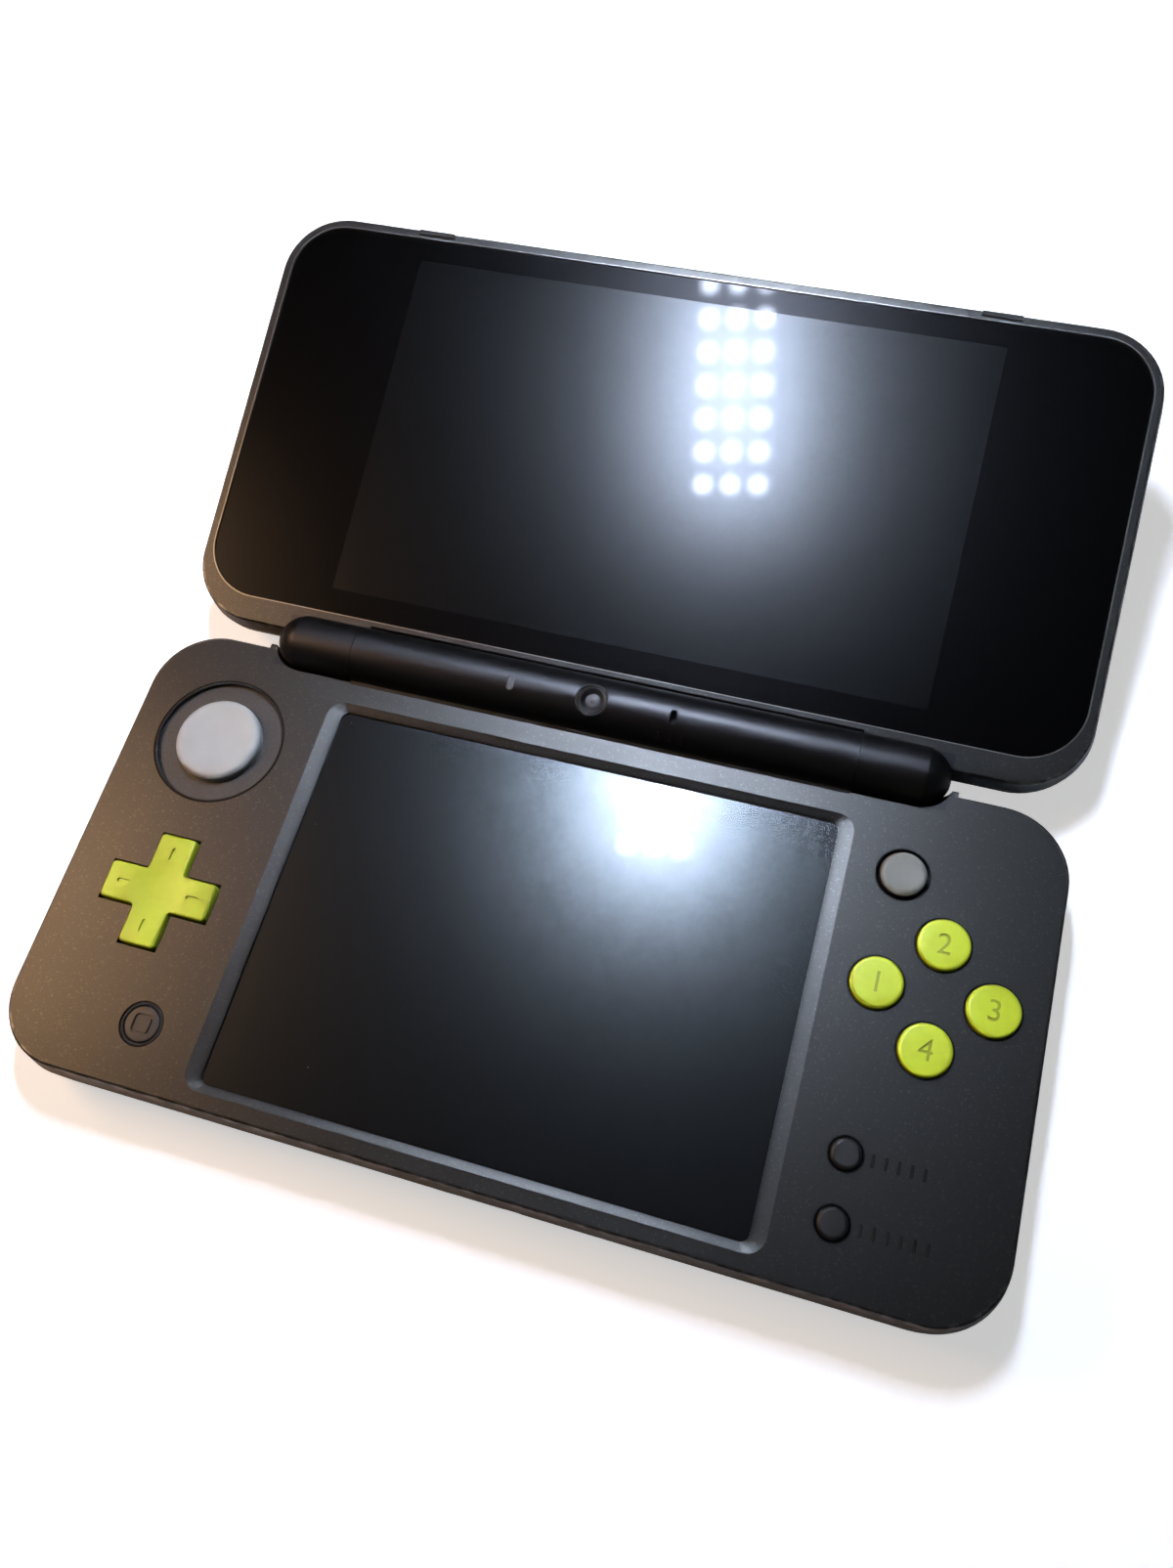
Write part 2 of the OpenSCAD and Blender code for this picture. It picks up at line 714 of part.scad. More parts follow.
module pad_carriage() color(BLACK) translate([pad_at[0], pad_at[1], carriage_z])
  linear_extrude(height = carriage_t) difference() {
    plan(carriage_w, carriage_w, 1);
    square([2 * pad_stem_r + 0.1, 2 * (pad_stem_r + pad_travel) + 0.1], center = true);
  }

module circle_pad() translate([pad_at[0], pad_at[1], 0]) {
  color(BLACK) translate([0, 0, pad_skirt_z]) cylinder(r = pad_skirt_r, h = pad_skirt_t);
  color(BLACK) translate([0, 0, carriage_z]) cylinder(r = pad_stem_r, h = pad_skirt_z - carriage_z + EPS);
  color(PALE) difference() {
    translate([0, 0, pad_skirt_z + pad_skirt_t - EPS])
      round_cap(pad_cap_r, key_top - pad_skirt_z - pad_skirt_t, 1);
    translate([0, 0, key_top + 47.6]) sphere(r = 48, $fn = 96);
  }
}

module direction_pad_pivot() color(BLACK)
  translate([cross_at[0], cross_at[1], board_top + mat_t + 0.15])
    cylinder(r = 2, h = tip_z - board_top - mat_t - 0.3);

// One bar of the cross, with its top edges bevelled
module cross_bar() {
  bevel = 0.5;
  hull() {
    translate([0, 0, top_z - 1]) linear_extrude(height = cross_top - bevel - top_z + 1)
      plan(cross_span, cross_arm, 0.6, $fn = 32);
    translate([0, 0, top_z]) linear_extrude(height = cross_top - top_z)
      plan(cross_span - 2 * bevel, cross_arm - 2 * bevel, 0.4, $fn = 32);
  }
}

module direction_pad() color(LIME) translate([cross_at[0], cross_at[1], 0]) {
  difference() {
    for (a = [0, 90]) rotate([0, 0, a]) cross_bar();
    translate([0, 0, cross_top + 11.5]) sphere(r = 12, $fn = 64);
    for (a = [0:90:270]) rotate([0, 0, a])
      block([5.2, -0.25, cross_top - 0.25], [7.4, 0.25, cross_top + 1]);
  }
  translate([0, 0, cross_flange_z]) cylinder(r = cross_flange_r, h = cross_flange_t);
  translate([0, 0, tip_z]) cylinder(r = 1.5, h = cross_flange_z - tip_z + EPS);
}

module nub_sensor() color(METAL)
  translate([nub_at[0], nub_at[1], board_top]) linear_extrude(height = 0.5) plan(9, 9, 0.5);

module nub_yoke() color(BLACK)
  translate([nub_at[0], nub_at[1], board_top + 0.6]) cylinder(r = 1.8, h = tip_z - board_top - 0.7);

module small_stick() color(GREY) translate([nub_at[0], nub_at[1], 0]) {
  difference() {
    translate([0, 0, top_z - 1]) round_cap(nub_r, nub_top - top_z + 1, 0.9);
    translate([0, 0, nub_top + 19.8]) sphere(r = 20, $fn = 64);
  }
  translate([0, 0, top_z - 0.8]) cylinder(r = nub_r + 0.9, h = 0.4);
  translate([0, 0, tip_z]) cylinder(r = 1.5, h = top_z - 1 - tip_z + EPS);
}

// ---- Keys on the top face ----

// A round key with its flange under the top plate and its stem over the mat
module round_key(at, r, top, soft) {
  translate([at[0], at[1], 0]) {
    translate([0, 0, top_z - face_gap]) round_cap(r, top - top_z + face_gap, soft);
    translate([0, 0, top_z - face_gap - key_flange_t])
      cylinder(r = r + key_flange, h = key_flange_t + EPS);
    translate([0, 0, key_stem_z])
      cylinder(r = r - 0.9, h = top_z - face_gap - key_flange_t - key_stem_z + EPS);
  }
}

module face_key(i) color(LIME) round_key(face_places()[i], face_r, key_top, 0.6);

module face_button_rear() face_key(0);
module face_button_left() face_key(1);
module face_button_right() face_key(2);
module face_button_front() face_key(3);

module small_key(i) color(BLACK)
  round_key([small_x, small_ys[i]], small_r, base_h + 0.7, 0.7);

module rear_small_button() small_key(1);
module front_small_button() small_key(0);

module home_button() color(BLACK)
  round_key(home_at, home_r, base_h - home_drop, 0.3);

// Rubber sheet with a low ring under each key
module mat(low, high, places, ring_r) {
  block([low[0], low[1], board_top], [high[0], high[1], board_top + mat_t]);
  for (p = places) translate([p[0], p[1], board_top + mat_t - EPS])
    cylinder(r = ring_r, h = dome_h + EPS);
}

module right_button_mat() color("#77797c")
  mat([face_at[0] - 12.5, face_at[1] - 12.5], [face_at[0] + 12.5, face_at[1] + 12.5], face_places(), 2.4);

module left_button_mat() color("#77797c") {
  mat([cross_at[0] - 9.5, cross_at[1] - 9.5], [cross_at[0] + 9.5, cross_at[1] + 9.5],
    [for (a = [0:90:270]) [cross_at[0] + 7 * cos(a), cross_at[1] + 7 * sin(a)]], 1.8);
  mat([home_at[0] - 4, home_at[1] - 4], [home_at[0] + 4, cross_at[1]], [home_at], 2);
}

module small_button_mat() color("#77797c")
  mat([small_x - 3.5, small_ys[0] - 3.5], [small_x + 3.5, small_ys[1] + 3.5],
    [for (y = small_ys) [small_x, y]], 1.2);

// ---- Keys and sockets round the edges ----

module shoulder_key() {
  h = shoulder_h;
  translate([0, 0, shoulder_z]) difference() {
    union() {
      intersection() {
        difference() {
          linear_extrude(height = h) plan(case_w, case_d, corner_r);
          translate([0, 0, -1]) linear_extrude(height = h + 2)
            plan(inner_w - 0.4, inner_d - 0.4, corner_r - wall - 0.2);
        }
        block([shoulder_x, shoulder_y, -1], [case_w, case_d, h + 1]);
      }
      translate([shoulder_pin[0], shoulder_pin[1], 0]) cylinder(r = 1.3, h = h);
      block([shoulder_pin[0] - 1.3, shoulder_pin[1], 0], [shoulder_pin[0] + 1.3, case_d / 2 - wall, h]);
    }
    translate([shoulder_pin[0], shoulder_pin[1], -1]) cylinder(r = shoulder_pin_r + shaft_fit, h = h + 2);
  }
}

module left_shoulder_button() color(BLACK) on_side(-1) shoulder_key();
module right_shoulder_button() color(BLACK) on_side(1) shoulder_key();

module trigger_key() {
  top = edge_key_z + edge_key_h;
  block([trigger_x - trigger_w / 2, inner_d / 2 - 0.2, edge_key_z],
    [trigger_x + trigger_w / 2, case_d / 2 - 0.1, top]);
  block([trigger_x - trigger_w / 2 - trigger_flange, inner_d / 2 - 1.2, edge_key_z + 0.1],
    [trigger_x + trigger_w / 2 + trigger_flange, inner_d / 2 - 0.1, top]);
}

module left_trigger() color(BLACK) on_side(-1) trigger_key();
module right_trigger() color(BLACK) on_side(1) trigger_key();

module volume_slider() color(BLACK) {
  block([-case_w / 2 + 0.1, slider_y - slider_l / 2, slider_z - slider_h / 2],
    [-inner_w / 2 + 0.3, slider_y + slider_l / 2, slider_z + slider_h / 2]);
  block([-inner_w / 2 + 0.1, slider_y - slider_l / 2 - 1, slider_z - slider_h / 2 - 0.7],
    [-inner_w / 2 + 0.9, slider_y + slider_l / 2 + 1, slider_z + slider_h / 2 + 0.7]);
}

module power_button() color(BLACK) translate([power_x, 0, power_z]) {
  translate([0, -case_d / 2 + 0.1, 0]) rotate([-90, 0, 0])
    linear_extrude(height = wall + 0.1) plan(power_w, power_h, power_h / 2 - 0.05);
  translate([0, -inner_d / 2 + 0.1, 0]) rotate([-90, 0, 0])
    linear_extrude(height = 0.8) plan(power_w + 1.6, 3.2, 1);
}

module power_light() color("#7fb7d8")
  block([power_light_x - 1.2, -case_d / 2 + 0.05, power_z - 0.5],
    [power_light_x + 1.2, -inner_d / 2 + 1.2, power_z + 0.5]);

module card_door() color(BLACK) {
  half = door_w / 2 - 0.2;
  block([door_x - half, -case_d / 2, door_axis_z],
    [door_x + half, -case_d / 2 + door_t, door_z + door_h - 0.1]);
  translate([door_x, door_axis_y, door_axis_z]) {
    rod_x(door_barrel_r, -half, half);
    rod_x(door_pin_r, -door_w / 2 - 0.8, door_w / 2 + 0.8);
  }
}

module audio_jack() color(BLACK) translate([jack_x, 0, jack_z]) difference() {
  union() {
    rod_y(jack_r + 1, -case_d / 2, -inner_d / 2 + 2);
    block([-jack_half, -inner_d / 2 + base_round - floor_t + 0.1, floor_t + 0.2 - jack_z],
      [jack_half, -case_d / 2 + jack_len + 1.5, board_z - jack_z]);
  }
  rod_y(jack_r, -case_d / 2 - 1, -case_d / 2 + jack_len);
}

module stylus() color(BLACK) translate([stylus_x, 0, stylus_z]) {
  front = -case_d / 2 + 0.05;
  rod_y(stylus_r + 0.2, front, -inner_d / 2);
  rod_y(stylus_r, front + 1, front + stylus_len - 4);
  translate([0, front + stylus_len - 4, 0]) rotate([-90, 0, 0])
    cylinder(r1 = stylus_r, r2 = 0.8, h = 4);
}

module stylus_holder() color("#2a2a2c") translate([stylus_x, 0, stylus_z]) difference() {
  rod_y(stylus_r + 0.5, -inner_d / 2 + base_round - floor_t + 0.1, -case_d / 2 + stylus_len + 1);
  rod_y(stylus_r + 0.1, -case_d / 2, -case_d / 2 + stylus_len + 0.3);
}

module charging_port() color(METAL) {
  top = edge_key_z + edge_key_h;
  difference() {
    block([-port_w / 2, case_d / 2 - 7, edge_key_z], [port_w / 2, case_d / 2 - 0.1, top]);
    block([-port_w / 2 + 0.4, case_d / 2 - 6, edge_key_z + 0.4], [port_w / 2 - 0.4, case_d / 2, top - 0.4]);
  }
  block([-3, case_d / 2 - 6.5, edge_key_z + 1.4], [3, case_d / 2 - 1.5, edge_key_z + 2]);
  block([-3, case_d / 2 - 7, top - EPS], [3, skirt_front - 0.8, board_z]);
}

module infrared_window() color("#2b1517")
  block([ir_x - ir_w / 2, inner_d / 2 - 0.5, edge_key_z],
    [ir_x + ir_w / 2, case_d / 2 - 0.05, edge_key_z + edge_key_h]);

module outer_cameras() color(GLASS)
  for (side = [-1, 1]) translate([side * outer_cam_x, outer_cam_y, 0]) {
    difference() {
      translate([0, 0, 0.3]) cylinder(r = cam_r, h = 1.4);
      translate([0, 0, 0.2]) cylinder(r1 = 2.2, r2 = 1.2, h = 0.8);
    }
    block([-outer_cam_half, -outer_cam_half, floor_t + 0.2], [outer_cam_half, outer_cam_half, outer_cam_top]);
  }

module speaker() difference() {
  translate([0, 0, floor_t]) linear_extrude(height = speaker_size[2])
    plan(speaker_size[0], speaker_size[1], 2);
  translate([0, 0, floor_t - 1]) linear_extrude(height = 1.8)
    plan(speaker_size[0] - 2 * speaker_rim, speaker_size[1] - 2 * speaker_rim, 1.5);
}

module left_speaker() color(BLACK) translate([-speaker_x, speaker_y, 0]) speaker();
module right_speaker() color(BLACK) translate([speaker_x, speaker_y, 0]) speaker();

// Screw with a domed head and a cross recess, head down
module screw(head_z, end_z) {
  difference() {
    translate([0, 0, head_z]) cylinder(r = screw_head_r, h = 0.95);
    for (a = [0, 90]) rotate([0, 0, a])
      translate([0, 0, head_z]) cube([2, 0.5, 1], center = true);
  }
  translate([0, 0, head_z + 0.9]) cylinder(r = screw_r, h = end_z - head_z - 0.9);
}

module back_screws() color(METAL)
  for (p = screw_places) translate([p[0], p[1], 0]) screw(0.35, seam_z + 1.8);

module inner_camera() color(GLASS) on_hinge() rotate([cam_tilt, 0, 0]) translate([cam_x, 0, 0]) {
  difference() {
    cylinder(r = cam_r, h = barrel_r - 0.3);
    translate([0, 0, barrel_r - 1.3]) cylinder(r1 = 1.3, r2 = 2.1, h = 1.1);
  }
  translate([0, 0, -1.5]) cylinder(r = 3.1, h = 2.9);
}

module status_light() color("#8d9196") on_hinge() rotate([cam_tilt, 0, 0]) translate([light_x, 0, 0])
  barrel_slot(slot_w - 0.1, slot_l - 0.1, 2.2, barrel_r - 0.1);

module microphone() color(METAL) on_hinge() rotate([cam_tilt, 0, 0])
  translate([mic_x, 0, 1.6]) cylinder(r = 2, h = 1.6);

// ---- Lid, drawn shut ----

module lid_screw_bosses(z0, z1) {
  for (p = lid_screw_places) translate([p[0], p[1], z0]) cylinder(r = boss_r, h = z1 - z0);
}

module lid_inner_frame() color(CHARCOAL) in_lid() difference() {
  union() {
    translate([0, 0, lid_seam_z]) mirror([0, 0, 1]) leaning_slab(lid_frame_t);
    on_hinge() for (side = [-1, 1]) on_side(side)
      knuckle_form(barrel_r, barrel_half + knuckle_seam);
  }
  translate([0, lid_glass_y, lid_z - 1]) linear_extrude(height = lid_seat_z - lid_z + 1)
    plan(lid_glass_w, lid_glass_d, lid_glass_r);
  translate([0, lcd_y, lid_seat_z - EPS]) linear_extrude(height = lid_frame_t)
    plan(lcd_w + 0.4, lcd_d + 0.4, 1);
  on_hinge() {
    rod_x(barrel_r + recess_gap, -barrel_half - knuckle_seam, barrel_half + knuckle_seam);
    rod_x(shaft_r, -shaft_end, shaft_end);
  }
  for (p = lid_screw_places) translate([p[0], p[1], 0]) {
    translate([0, 0, lid_z]) cylinder(r = screw_head_r + 0.2, h = lid_seat_z + 1 - lid_z);
    translate([0, 0, lid_z]) cylinder(r = screw_r + 0.15, h = lid_frame_t + 1);
  }
  for (side = [-1, 1])
    block([side * bumper_x - bumper_w / 2, -case_d / 2 - 1, lid_z - 1],
      [side * bumper_x + bumper_w / 2, bumper_front + bumper_d + EPS, lid_z + 1]);
}

module lid_outer_shell() color(BLACK) in_lid() difference() {
  translate([0, 0, lid_seam_z])
    edge_slab(case_w, case_d, corner_r, lid_outer_z - lid_seam_z, high = lid_round);
  difference() {
    cavity_d = lid_cavity_back + inner_d / 2;
    translate([0, lid_cavity_back - cavity_d / 2, lid_seam_z - 1])
      linear_extrude(height = lid_outer_z - lid_plate_t - lid_seam_z + 1)
        plan(inner_w, cavity_d, corner_r - wall);
    lid_screw_bosses(lid_seam_z + face_gap / 2, lid_outer_z);
  }
  on_hinge() {
    rod_x(barrel_r + recess_gap, -barrel_half - knuckle_seam, barrel_half + knuckle_seam);
    for (side = [-1, 1]) on_side(side) knuckle_pocket(barrel_r + 0.05, barrel_half);
  }
  for (p = lid_screw_places) translate([p[0], p[1], lid_seam_z - 1]) cylinder(r = screw_r + 0.02, h = 3.2);
}

module lid_glass() color(GLASS) in_lid()
  translate([0, lid_glass_y, lid_glass_z]) linear_extrude(height = lid_glass_t)
    plan(lid_glass_w - 0.1, lid_glass_d - 0.1, lid_glass_r - 0.05);

module upper_display() color("#232427") in_lid()
  translate([0, lcd_y, lid_seat_z]) linear_extrude(height = upper_lcd_t) plan(lcd_w, lcd_d, 0.8);

module lid_bumpers() color("#0e0e0f") in_lid()
  for (side = [-1, 1])
    block([side * bumper_x - bumper_w / 2 + 0.05, bumper_front + 0.05, lid_z - 0.3],
      [side * bumper_x + bumper_w / 2 - 0.05, bumper_front + bumper_d, lid_z + 1]);

module lid_magnet() color(METAL) in_lid() {
  top = lid_outer_z - lid_plate_t;
  translate([magnet_at[0], magnet_at[1], top - magnet_size[2] / 2]) cube(magnet_size, center = true);
}

module lid_screws() color(METAL) in_lid()
  for (p = lid_screw_places) translate([p[0], p[1], 0]) screw(lid_seat_z + 0.05, lid_seam_z + 2);

module friction_hinge_shaft() color(METAL) on_hinge() {
  rod_x(shaft_r, shaft_start, shaft_end);
  rod_x(shaft_r + 1.3, shaft_start, shaft_start + 1.2);
}

module hinge_cable_sleeve() color(METAL) on_hinge() mirror([1, 0, 0]) difference() {
  union() {
    rod_x(shaft_r, shaft_start, shaft_end);
    rod_x(shaft_r + 1.3, shaft_start, shaft_start + 1.2);
  }
  rod_x(shaft_r - 0.7, shaft_start - 1, shaft_end - 1);
}

module display_cable() color("#8a5a2b") {
  on_hinge() mirror([1, 0, 0]) rod_x(shaft_r - 0.8, shaft_start - 3, shaft_end - 1.2);
  in_lid() block([-barrel_half - 8.2, lcd_y + lcd_d / 2 + 0.1, lid_seat_z + upper_lcd_t - 0.3],
    [-barrel_half + 1.8, lid_cavity_back - 0.1, lid_seat_z + upper_lcd_t]);
}

back_cover();
top_frame();
touch_glass();
lower_display();
circuit_board();
battery();
card_slot();
memory_card_socket();
wireless_module();
pad_housing();
pad_carriage();
circle_pad();
direction_pad_pivot();
direction_pad();
nub_sensor();
nub_yoke();
small_stick();
face_button_rear();
face_button_left();
face_button_right();
face_button_front();
rear_small_button();
front_small_button();
home_button();
right_button_mat();
left_button_mat();
small_button_mat();
left_shoulder_button();
right_shoulder_button();
left_trigger();
right_trigger();
volume_slider();
power_button();
power_light();
card_door();
audio_jack();
stylus();
stylus_holder();
charging_port();
infrared_window();
outer_cameras();
left_speaker();
right_speaker();
back_screws();
inner_camera();
status_light();
microphone();
lid_inner_frame();
lid_outer_shell();
lid_glass();
upper_display();
lid_bumpers();
lid_magnet();
lid_screws();
friction_hinge_shaft();
hinge_cable_sleeve();
display_cable();
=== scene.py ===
"""Finishes and small parts of a clamshell handheld game console, around its construction model.

Every size is in metres. X is right, Y towards the hinge and Z up; the origin is the middle of the
underside of the lower case. The lid lies open, turned about the hinge axis.
"""

import json
import math

import bpy
from mathutils import Matrix, Vector


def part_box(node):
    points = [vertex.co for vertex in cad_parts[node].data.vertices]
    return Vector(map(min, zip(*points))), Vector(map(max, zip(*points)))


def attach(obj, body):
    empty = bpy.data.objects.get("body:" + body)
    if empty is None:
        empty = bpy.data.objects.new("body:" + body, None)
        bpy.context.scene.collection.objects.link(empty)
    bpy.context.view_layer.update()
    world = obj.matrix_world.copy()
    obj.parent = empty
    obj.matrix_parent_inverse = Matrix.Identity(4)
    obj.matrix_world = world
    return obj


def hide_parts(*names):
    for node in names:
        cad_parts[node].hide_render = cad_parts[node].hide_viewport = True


bl_info = {
    "name": "Clamshell Handheld Console",
    "version": (1, 0, 0),
    "blender": (4, 5, 0),
    "location": "View3D > Sidebar > Console",
    "description": "Finishes, small parts and studio of a clamshell handheld game console",
    "category": "Object",
}

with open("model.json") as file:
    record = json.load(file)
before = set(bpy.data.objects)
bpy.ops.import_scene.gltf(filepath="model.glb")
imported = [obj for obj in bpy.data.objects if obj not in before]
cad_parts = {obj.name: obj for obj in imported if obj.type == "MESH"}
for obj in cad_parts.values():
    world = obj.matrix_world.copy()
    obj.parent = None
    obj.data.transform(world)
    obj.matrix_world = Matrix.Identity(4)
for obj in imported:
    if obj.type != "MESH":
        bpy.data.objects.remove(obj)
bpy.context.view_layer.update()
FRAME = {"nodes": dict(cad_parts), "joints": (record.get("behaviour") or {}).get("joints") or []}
NODES = FRAME["nodes"]
MM = 0.001


def middle(name):
    """Middle of a construction node's box."""
    low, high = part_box(name)
    return (low + high) / 2


# Places that come from the construction model
HINGE_JOINT = next(joint for joint in FRAME["joints"] if joint["name"] == "lid_hinge")
HINGE = Vector(HINGE_JOINT["pos_m"])
LID_TILT = math.pi - math.radians(HINGE_JOINT["range_deg"][1])
TOP_Z = HINGE.z
FACE_POINTS = [v.co for v in NODES["top_frame"].data.vertices if v.co.z > TOP_Z - 0.5 * MM]
FACE_HALF_X = max(point.x for point in FACE_POINTS)
FACE_HALF_Y = -min(point.y for point in FACE_POINTS)
BARREL_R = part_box("top_frame")[1].z - HINGE.z
KNUCKLE_END = 59 * MM
CORNER_R = 12 * MM
CAMERA_TILT = math.radians(14.6)
FACE_KEY_R = 4.05 * MM
LID_GLASS_HALF_X = 77.7 * MM
LID_GLASS_HALF_Y = 36.2 * MM
LID_GLASS_MIDDLE = 42.9 * MM
MIC_LABEL_TURN = math.radians(58)
WINDOW_MIDDLE = Vector((0, -2.325 * MM, 0))
WINDOW_HALF_X = 45.8 * MM
WINDOW_HALF_Y = 34.3 * MM
PAD_CAP_R = 7.53 * MM
PAD_SHADOW_FROM = 10.9 * MM
PAD_SHADOW_TO = 11.2 * MM
STICK_SKIRT_Z = 12.85 * MM
KEY_SHOULDER_WIDTH = 1.6 * MM
KEY_SHOULDER_DROP = 0.9 * MM
CROSS_HEIGHT = 3.1 * MM
CROSS_HOLLOW_R = 30 * MM
CROSS_HOLLOW_DEPTH = 0.45 * MM
DASH_PLACE = 6.3 * MM
FIRST_LABEL_BAR = 3.9 * MM
OUTER_LENS_Z = 1.02 * MM
LAMP_TURN = math.radians(9.5)
LAMP_COLUMNS, LAMP_ROWS = 3, 7
# Black of the painted shade in the openings of the lower case and at the window's foot
SHADE_BLACK = (0.004, 0.004, 0.004)
ROUND_KEYS = (
    "face_button_left",
    "face_button_rear",
    "face_button_right",
    "face_button_front",
    "rear_small_button",
    "front_small_button",
    "small_stick",
    "circle_pad",
)


def linear(hex_colour):
    """Scene-linear red, green and blue of an sRGB hex colour."""
    parts = [int(hex_colour[i : i + 2], 16) / 255 for i in (1, 3, 5)]
    return tuple(p / 12.92 if p <= 0.04045 else ((p + 0.055) / 1.055) ** 2.4 for p in parts)


# ---- Settings ----


def colour_setting(name, description, hex_colour):
    return bpy.props.FloatVectorProperty(
        name=name,
        description=description,
        subtype="COLOR",
        size=3,
        min=0,
        max=1,
        default=linear(hex_colour),
    )


def length_setting(name, description, metres):
    return bpy.props.FloatProperty(
        name=name, description=description, subtype="DISTANCE", unit="LENGTH", min=0, default=metres
    )


class ConsoleColours(bpy.types.PropertyGroup):
    charcoal: colour_setting("Charcoal", "Satin paint of both cases", "#3a3a39")
    # The flake colour is also the tone of the painted highlights on the edges.
    flake: colour_setting("Flake", "Metal flakes in the satin paint", "#a9a6a1")
    barrel: colour_setting("Barrel", "Black of the hinge barrel", "#353537")
    shell: colour_setting("Shell", "Black of the back cover and the lid's outer shell", "#1e1e20")
    lime: colour_setting("Lime", "Direction pad and face buttons", "#cddf2f")
    pale: colour_setting("Pale grey", "Thumb cap of the circle pad", "#9ca09d")
    nub: colour_setting("Warm grey", "Small right stick", "#7e7e75")
    key: colour_setting("Key black", "Small dark buttons and the keys on the edges", "#1a1a1b")
    screen: colour_setting("Screen black", "Displays behind their glass", "#050506")


class ConsoleSizes(bpy.types.PropertyGroup):
    grain: length_setting("Grain", "Spacing of the grain in the satin paint", 0.2 * MM)
    flake: length_setting("Flake", "Spacing of the metal flakes", 0.28 * MM)
    numeral: length_setting("Numeral", "Height of the numerals on the face buttons", 3.3 * MM)
    engraving: length_setting("Engraving", "Depth of the engraved marks", 0.3 * MM)
    cross_span: length_setting("Cross span", "Length across the direction pad", 19.1 * MM)
    cross_arm: length_setting("Cross arm", "Width of one arm of the direction pad", 6.4 * MM)
    bar: length_setting("Bar", "Length of the label bars beside the small buttons", 2.0 * MM)
    outline: length_setting("Outline", "Width of the outline on the home button", 3.2 * MM)


class ConsoleStudio(bpy.types.PropertyGroup):
    lamp_place: bpy.props.FloatVectorProperty(
        name="Lamp place",
        description="Middle of the small panel lamp over the lid",
        subtype="TRANSLATION",
        unit="LENGTH",
        default=(-0.0223, 0.138, 0.258),
    )
    lamp_size: bpy.props.FloatVectorProperty(
        name="Lamp size",
        description="Width and length of the panel lamp",
        unit="LENGTH",
        size=2,
        default=(0.030, 0.081),
    )
    lamp_strength: bpy.props.FloatProperty(
        name="Lamp strength", description="Brightness of the panel lamp", min=0, default=400
    )
    sky: bpy.props.FloatProperty(
        name="Sky", description="Brightness of the room on the object", min=0, default=0.032
    )
    camera_place: bpy.props.FloatVectorProperty(
        name="Camera place",
        description="Where the camera stands",
        subtype="TRANSLATION",
        unit="LENGTH",
        default=(0.03948, -0.04383, 0.19794),
    )
    camera_turn: bpy.props.FloatVectorProperty(
        name="Camera turn",
        description="Turn of the camera about X, Y and Z",
        subtype="EULER",
        unit="ROTATION",
        default=tuple(math.radians(a) for a in (22.880, 5.169, 15.891)),
    )
    camera_lens: bpy.props.FloatProperty(
        name="Lens",
        description="Focal length on a 36 mm long side, in millimetres",
        subtype="DISTANCE_CAMERA",
        unit="CAMERA",
        default=28.02,
    )


# ---- Nodes and materials ----


def add_node(tree, kind, sockets=None, **settings):
    """Adds one node. Each of its sockets takes a value, or the output that feeds it."""
    added = tree.nodes.new(kind)
    for name, value in settings.items():
        setattr(added, name, value)
    for name, value in (sockets or {}).items():
        if isinstance(value, bpy.types.NodeSocket):
            tree.links.new(value, added.inputs[name])
        else:
            added.inputs[name].default_value = value
    return added


def new_material(name):
    """A material with a Principled shader, and its tree, shader and Object coordinates."""
    material = bpy.data.materials.new(name)
    material.use_nodes = True
    tree = material.node_tree
    tree.nodes.clear()
    shader = add_node(tree, "ShaderNodeBsdfPrincipled")
    add_node(tree, "ShaderNodeOutputMaterial", {"Surface": shader.outputs["BSDF"]})
    place = add_node(tree, "ShaderNodeTexCoord").outputs["Object"]
    return material, tree, shader, place


def set_sockets(shader, **values):
    """Sets the shader's own sockets; an underscore stands for a space."""
    for name, value in values.items():
        shader.inputs[name.replace("_", " ")].default_value = value


def scaled(tree, value, low, high, to_low=0.0, to_high=1.0):
    """value taken from the range low to high into the range to_low to to_high."""
    node = add_node(
        tree,
        "ShaderNodeMapRange",
        {"Value": value, "From Min": low, "From Max": high, "To Min": to_low, "To Max": to_high},
    )
    return node.outputs["Result"]


def math_of(tree, operation, first, second=0.0):
    node = add_node(tree, "ShaderNodeMath", {0: first, 1: second}, operation=operation)
    return node.outputs[0]


def height_of(tree, place):
    """Z of the coordinates."""
    return add_node(tree, "ShaderNodeSeparateXYZ", {"Vector": place}).outputs["Z"]


def noise(tree, place, spacing, detail=2.0, roughness=0.5):
    """Noise whose lumps are about spacing metres apart."""
    node = add_node(
        tree,
        "ShaderNodeTexNoise",
        {"Vector": place, "Scale": 1 / spacing, "Detail": detail, "Roughness": roughness},
    )
    return node.outputs["Fac"]


def mixed(tree, factor, first, second):
    """Colour between first and second."""
    node = add_node(tree, "ShaderNodeMix", data_type="RGBA")
    for socket, value in ((0, factor), (6, first), (7, second)):
        if isinstance(value, bpy.types.NodeSocket):
            tree.links.new(value, node.inputs[socket])
        else:
            node.inputs[socket].default_value = value if socket == 0 else (*value, 1)
    return node.outputs[2]


def bump(tree, shader, height, depth, strength=1.0):
    """Feeds the shader's normal with a bump that is depth metres deep."""
    node = add_node(
        tree, "ShaderNodeBump", {"Height": height, "Distance": depth, "Strength": strength}
    )
    tree.links.new(node.outputs["Normal"], shader.inputs["Normal"])


def feed(tree, shader, name, output):
    tree.links.new(output, shader.inputs[name])


def flat_in_lid(tree, place):
    """Coordinates turned back so that the lid's face is level, the hinge axis at the origin."""
    turn = Matrix.Rotation(-LID_TILT, 3, "X")
    node = add_node(tree, "ShaderNodeMapping", {"Vector": place})
    node.inputs["Rotation"].default_value = (-LID_TILT, 0, 0)
    node.inputs["Location"].default_value = -(turn @ HINGE)
    return node.outputs["Vector"]


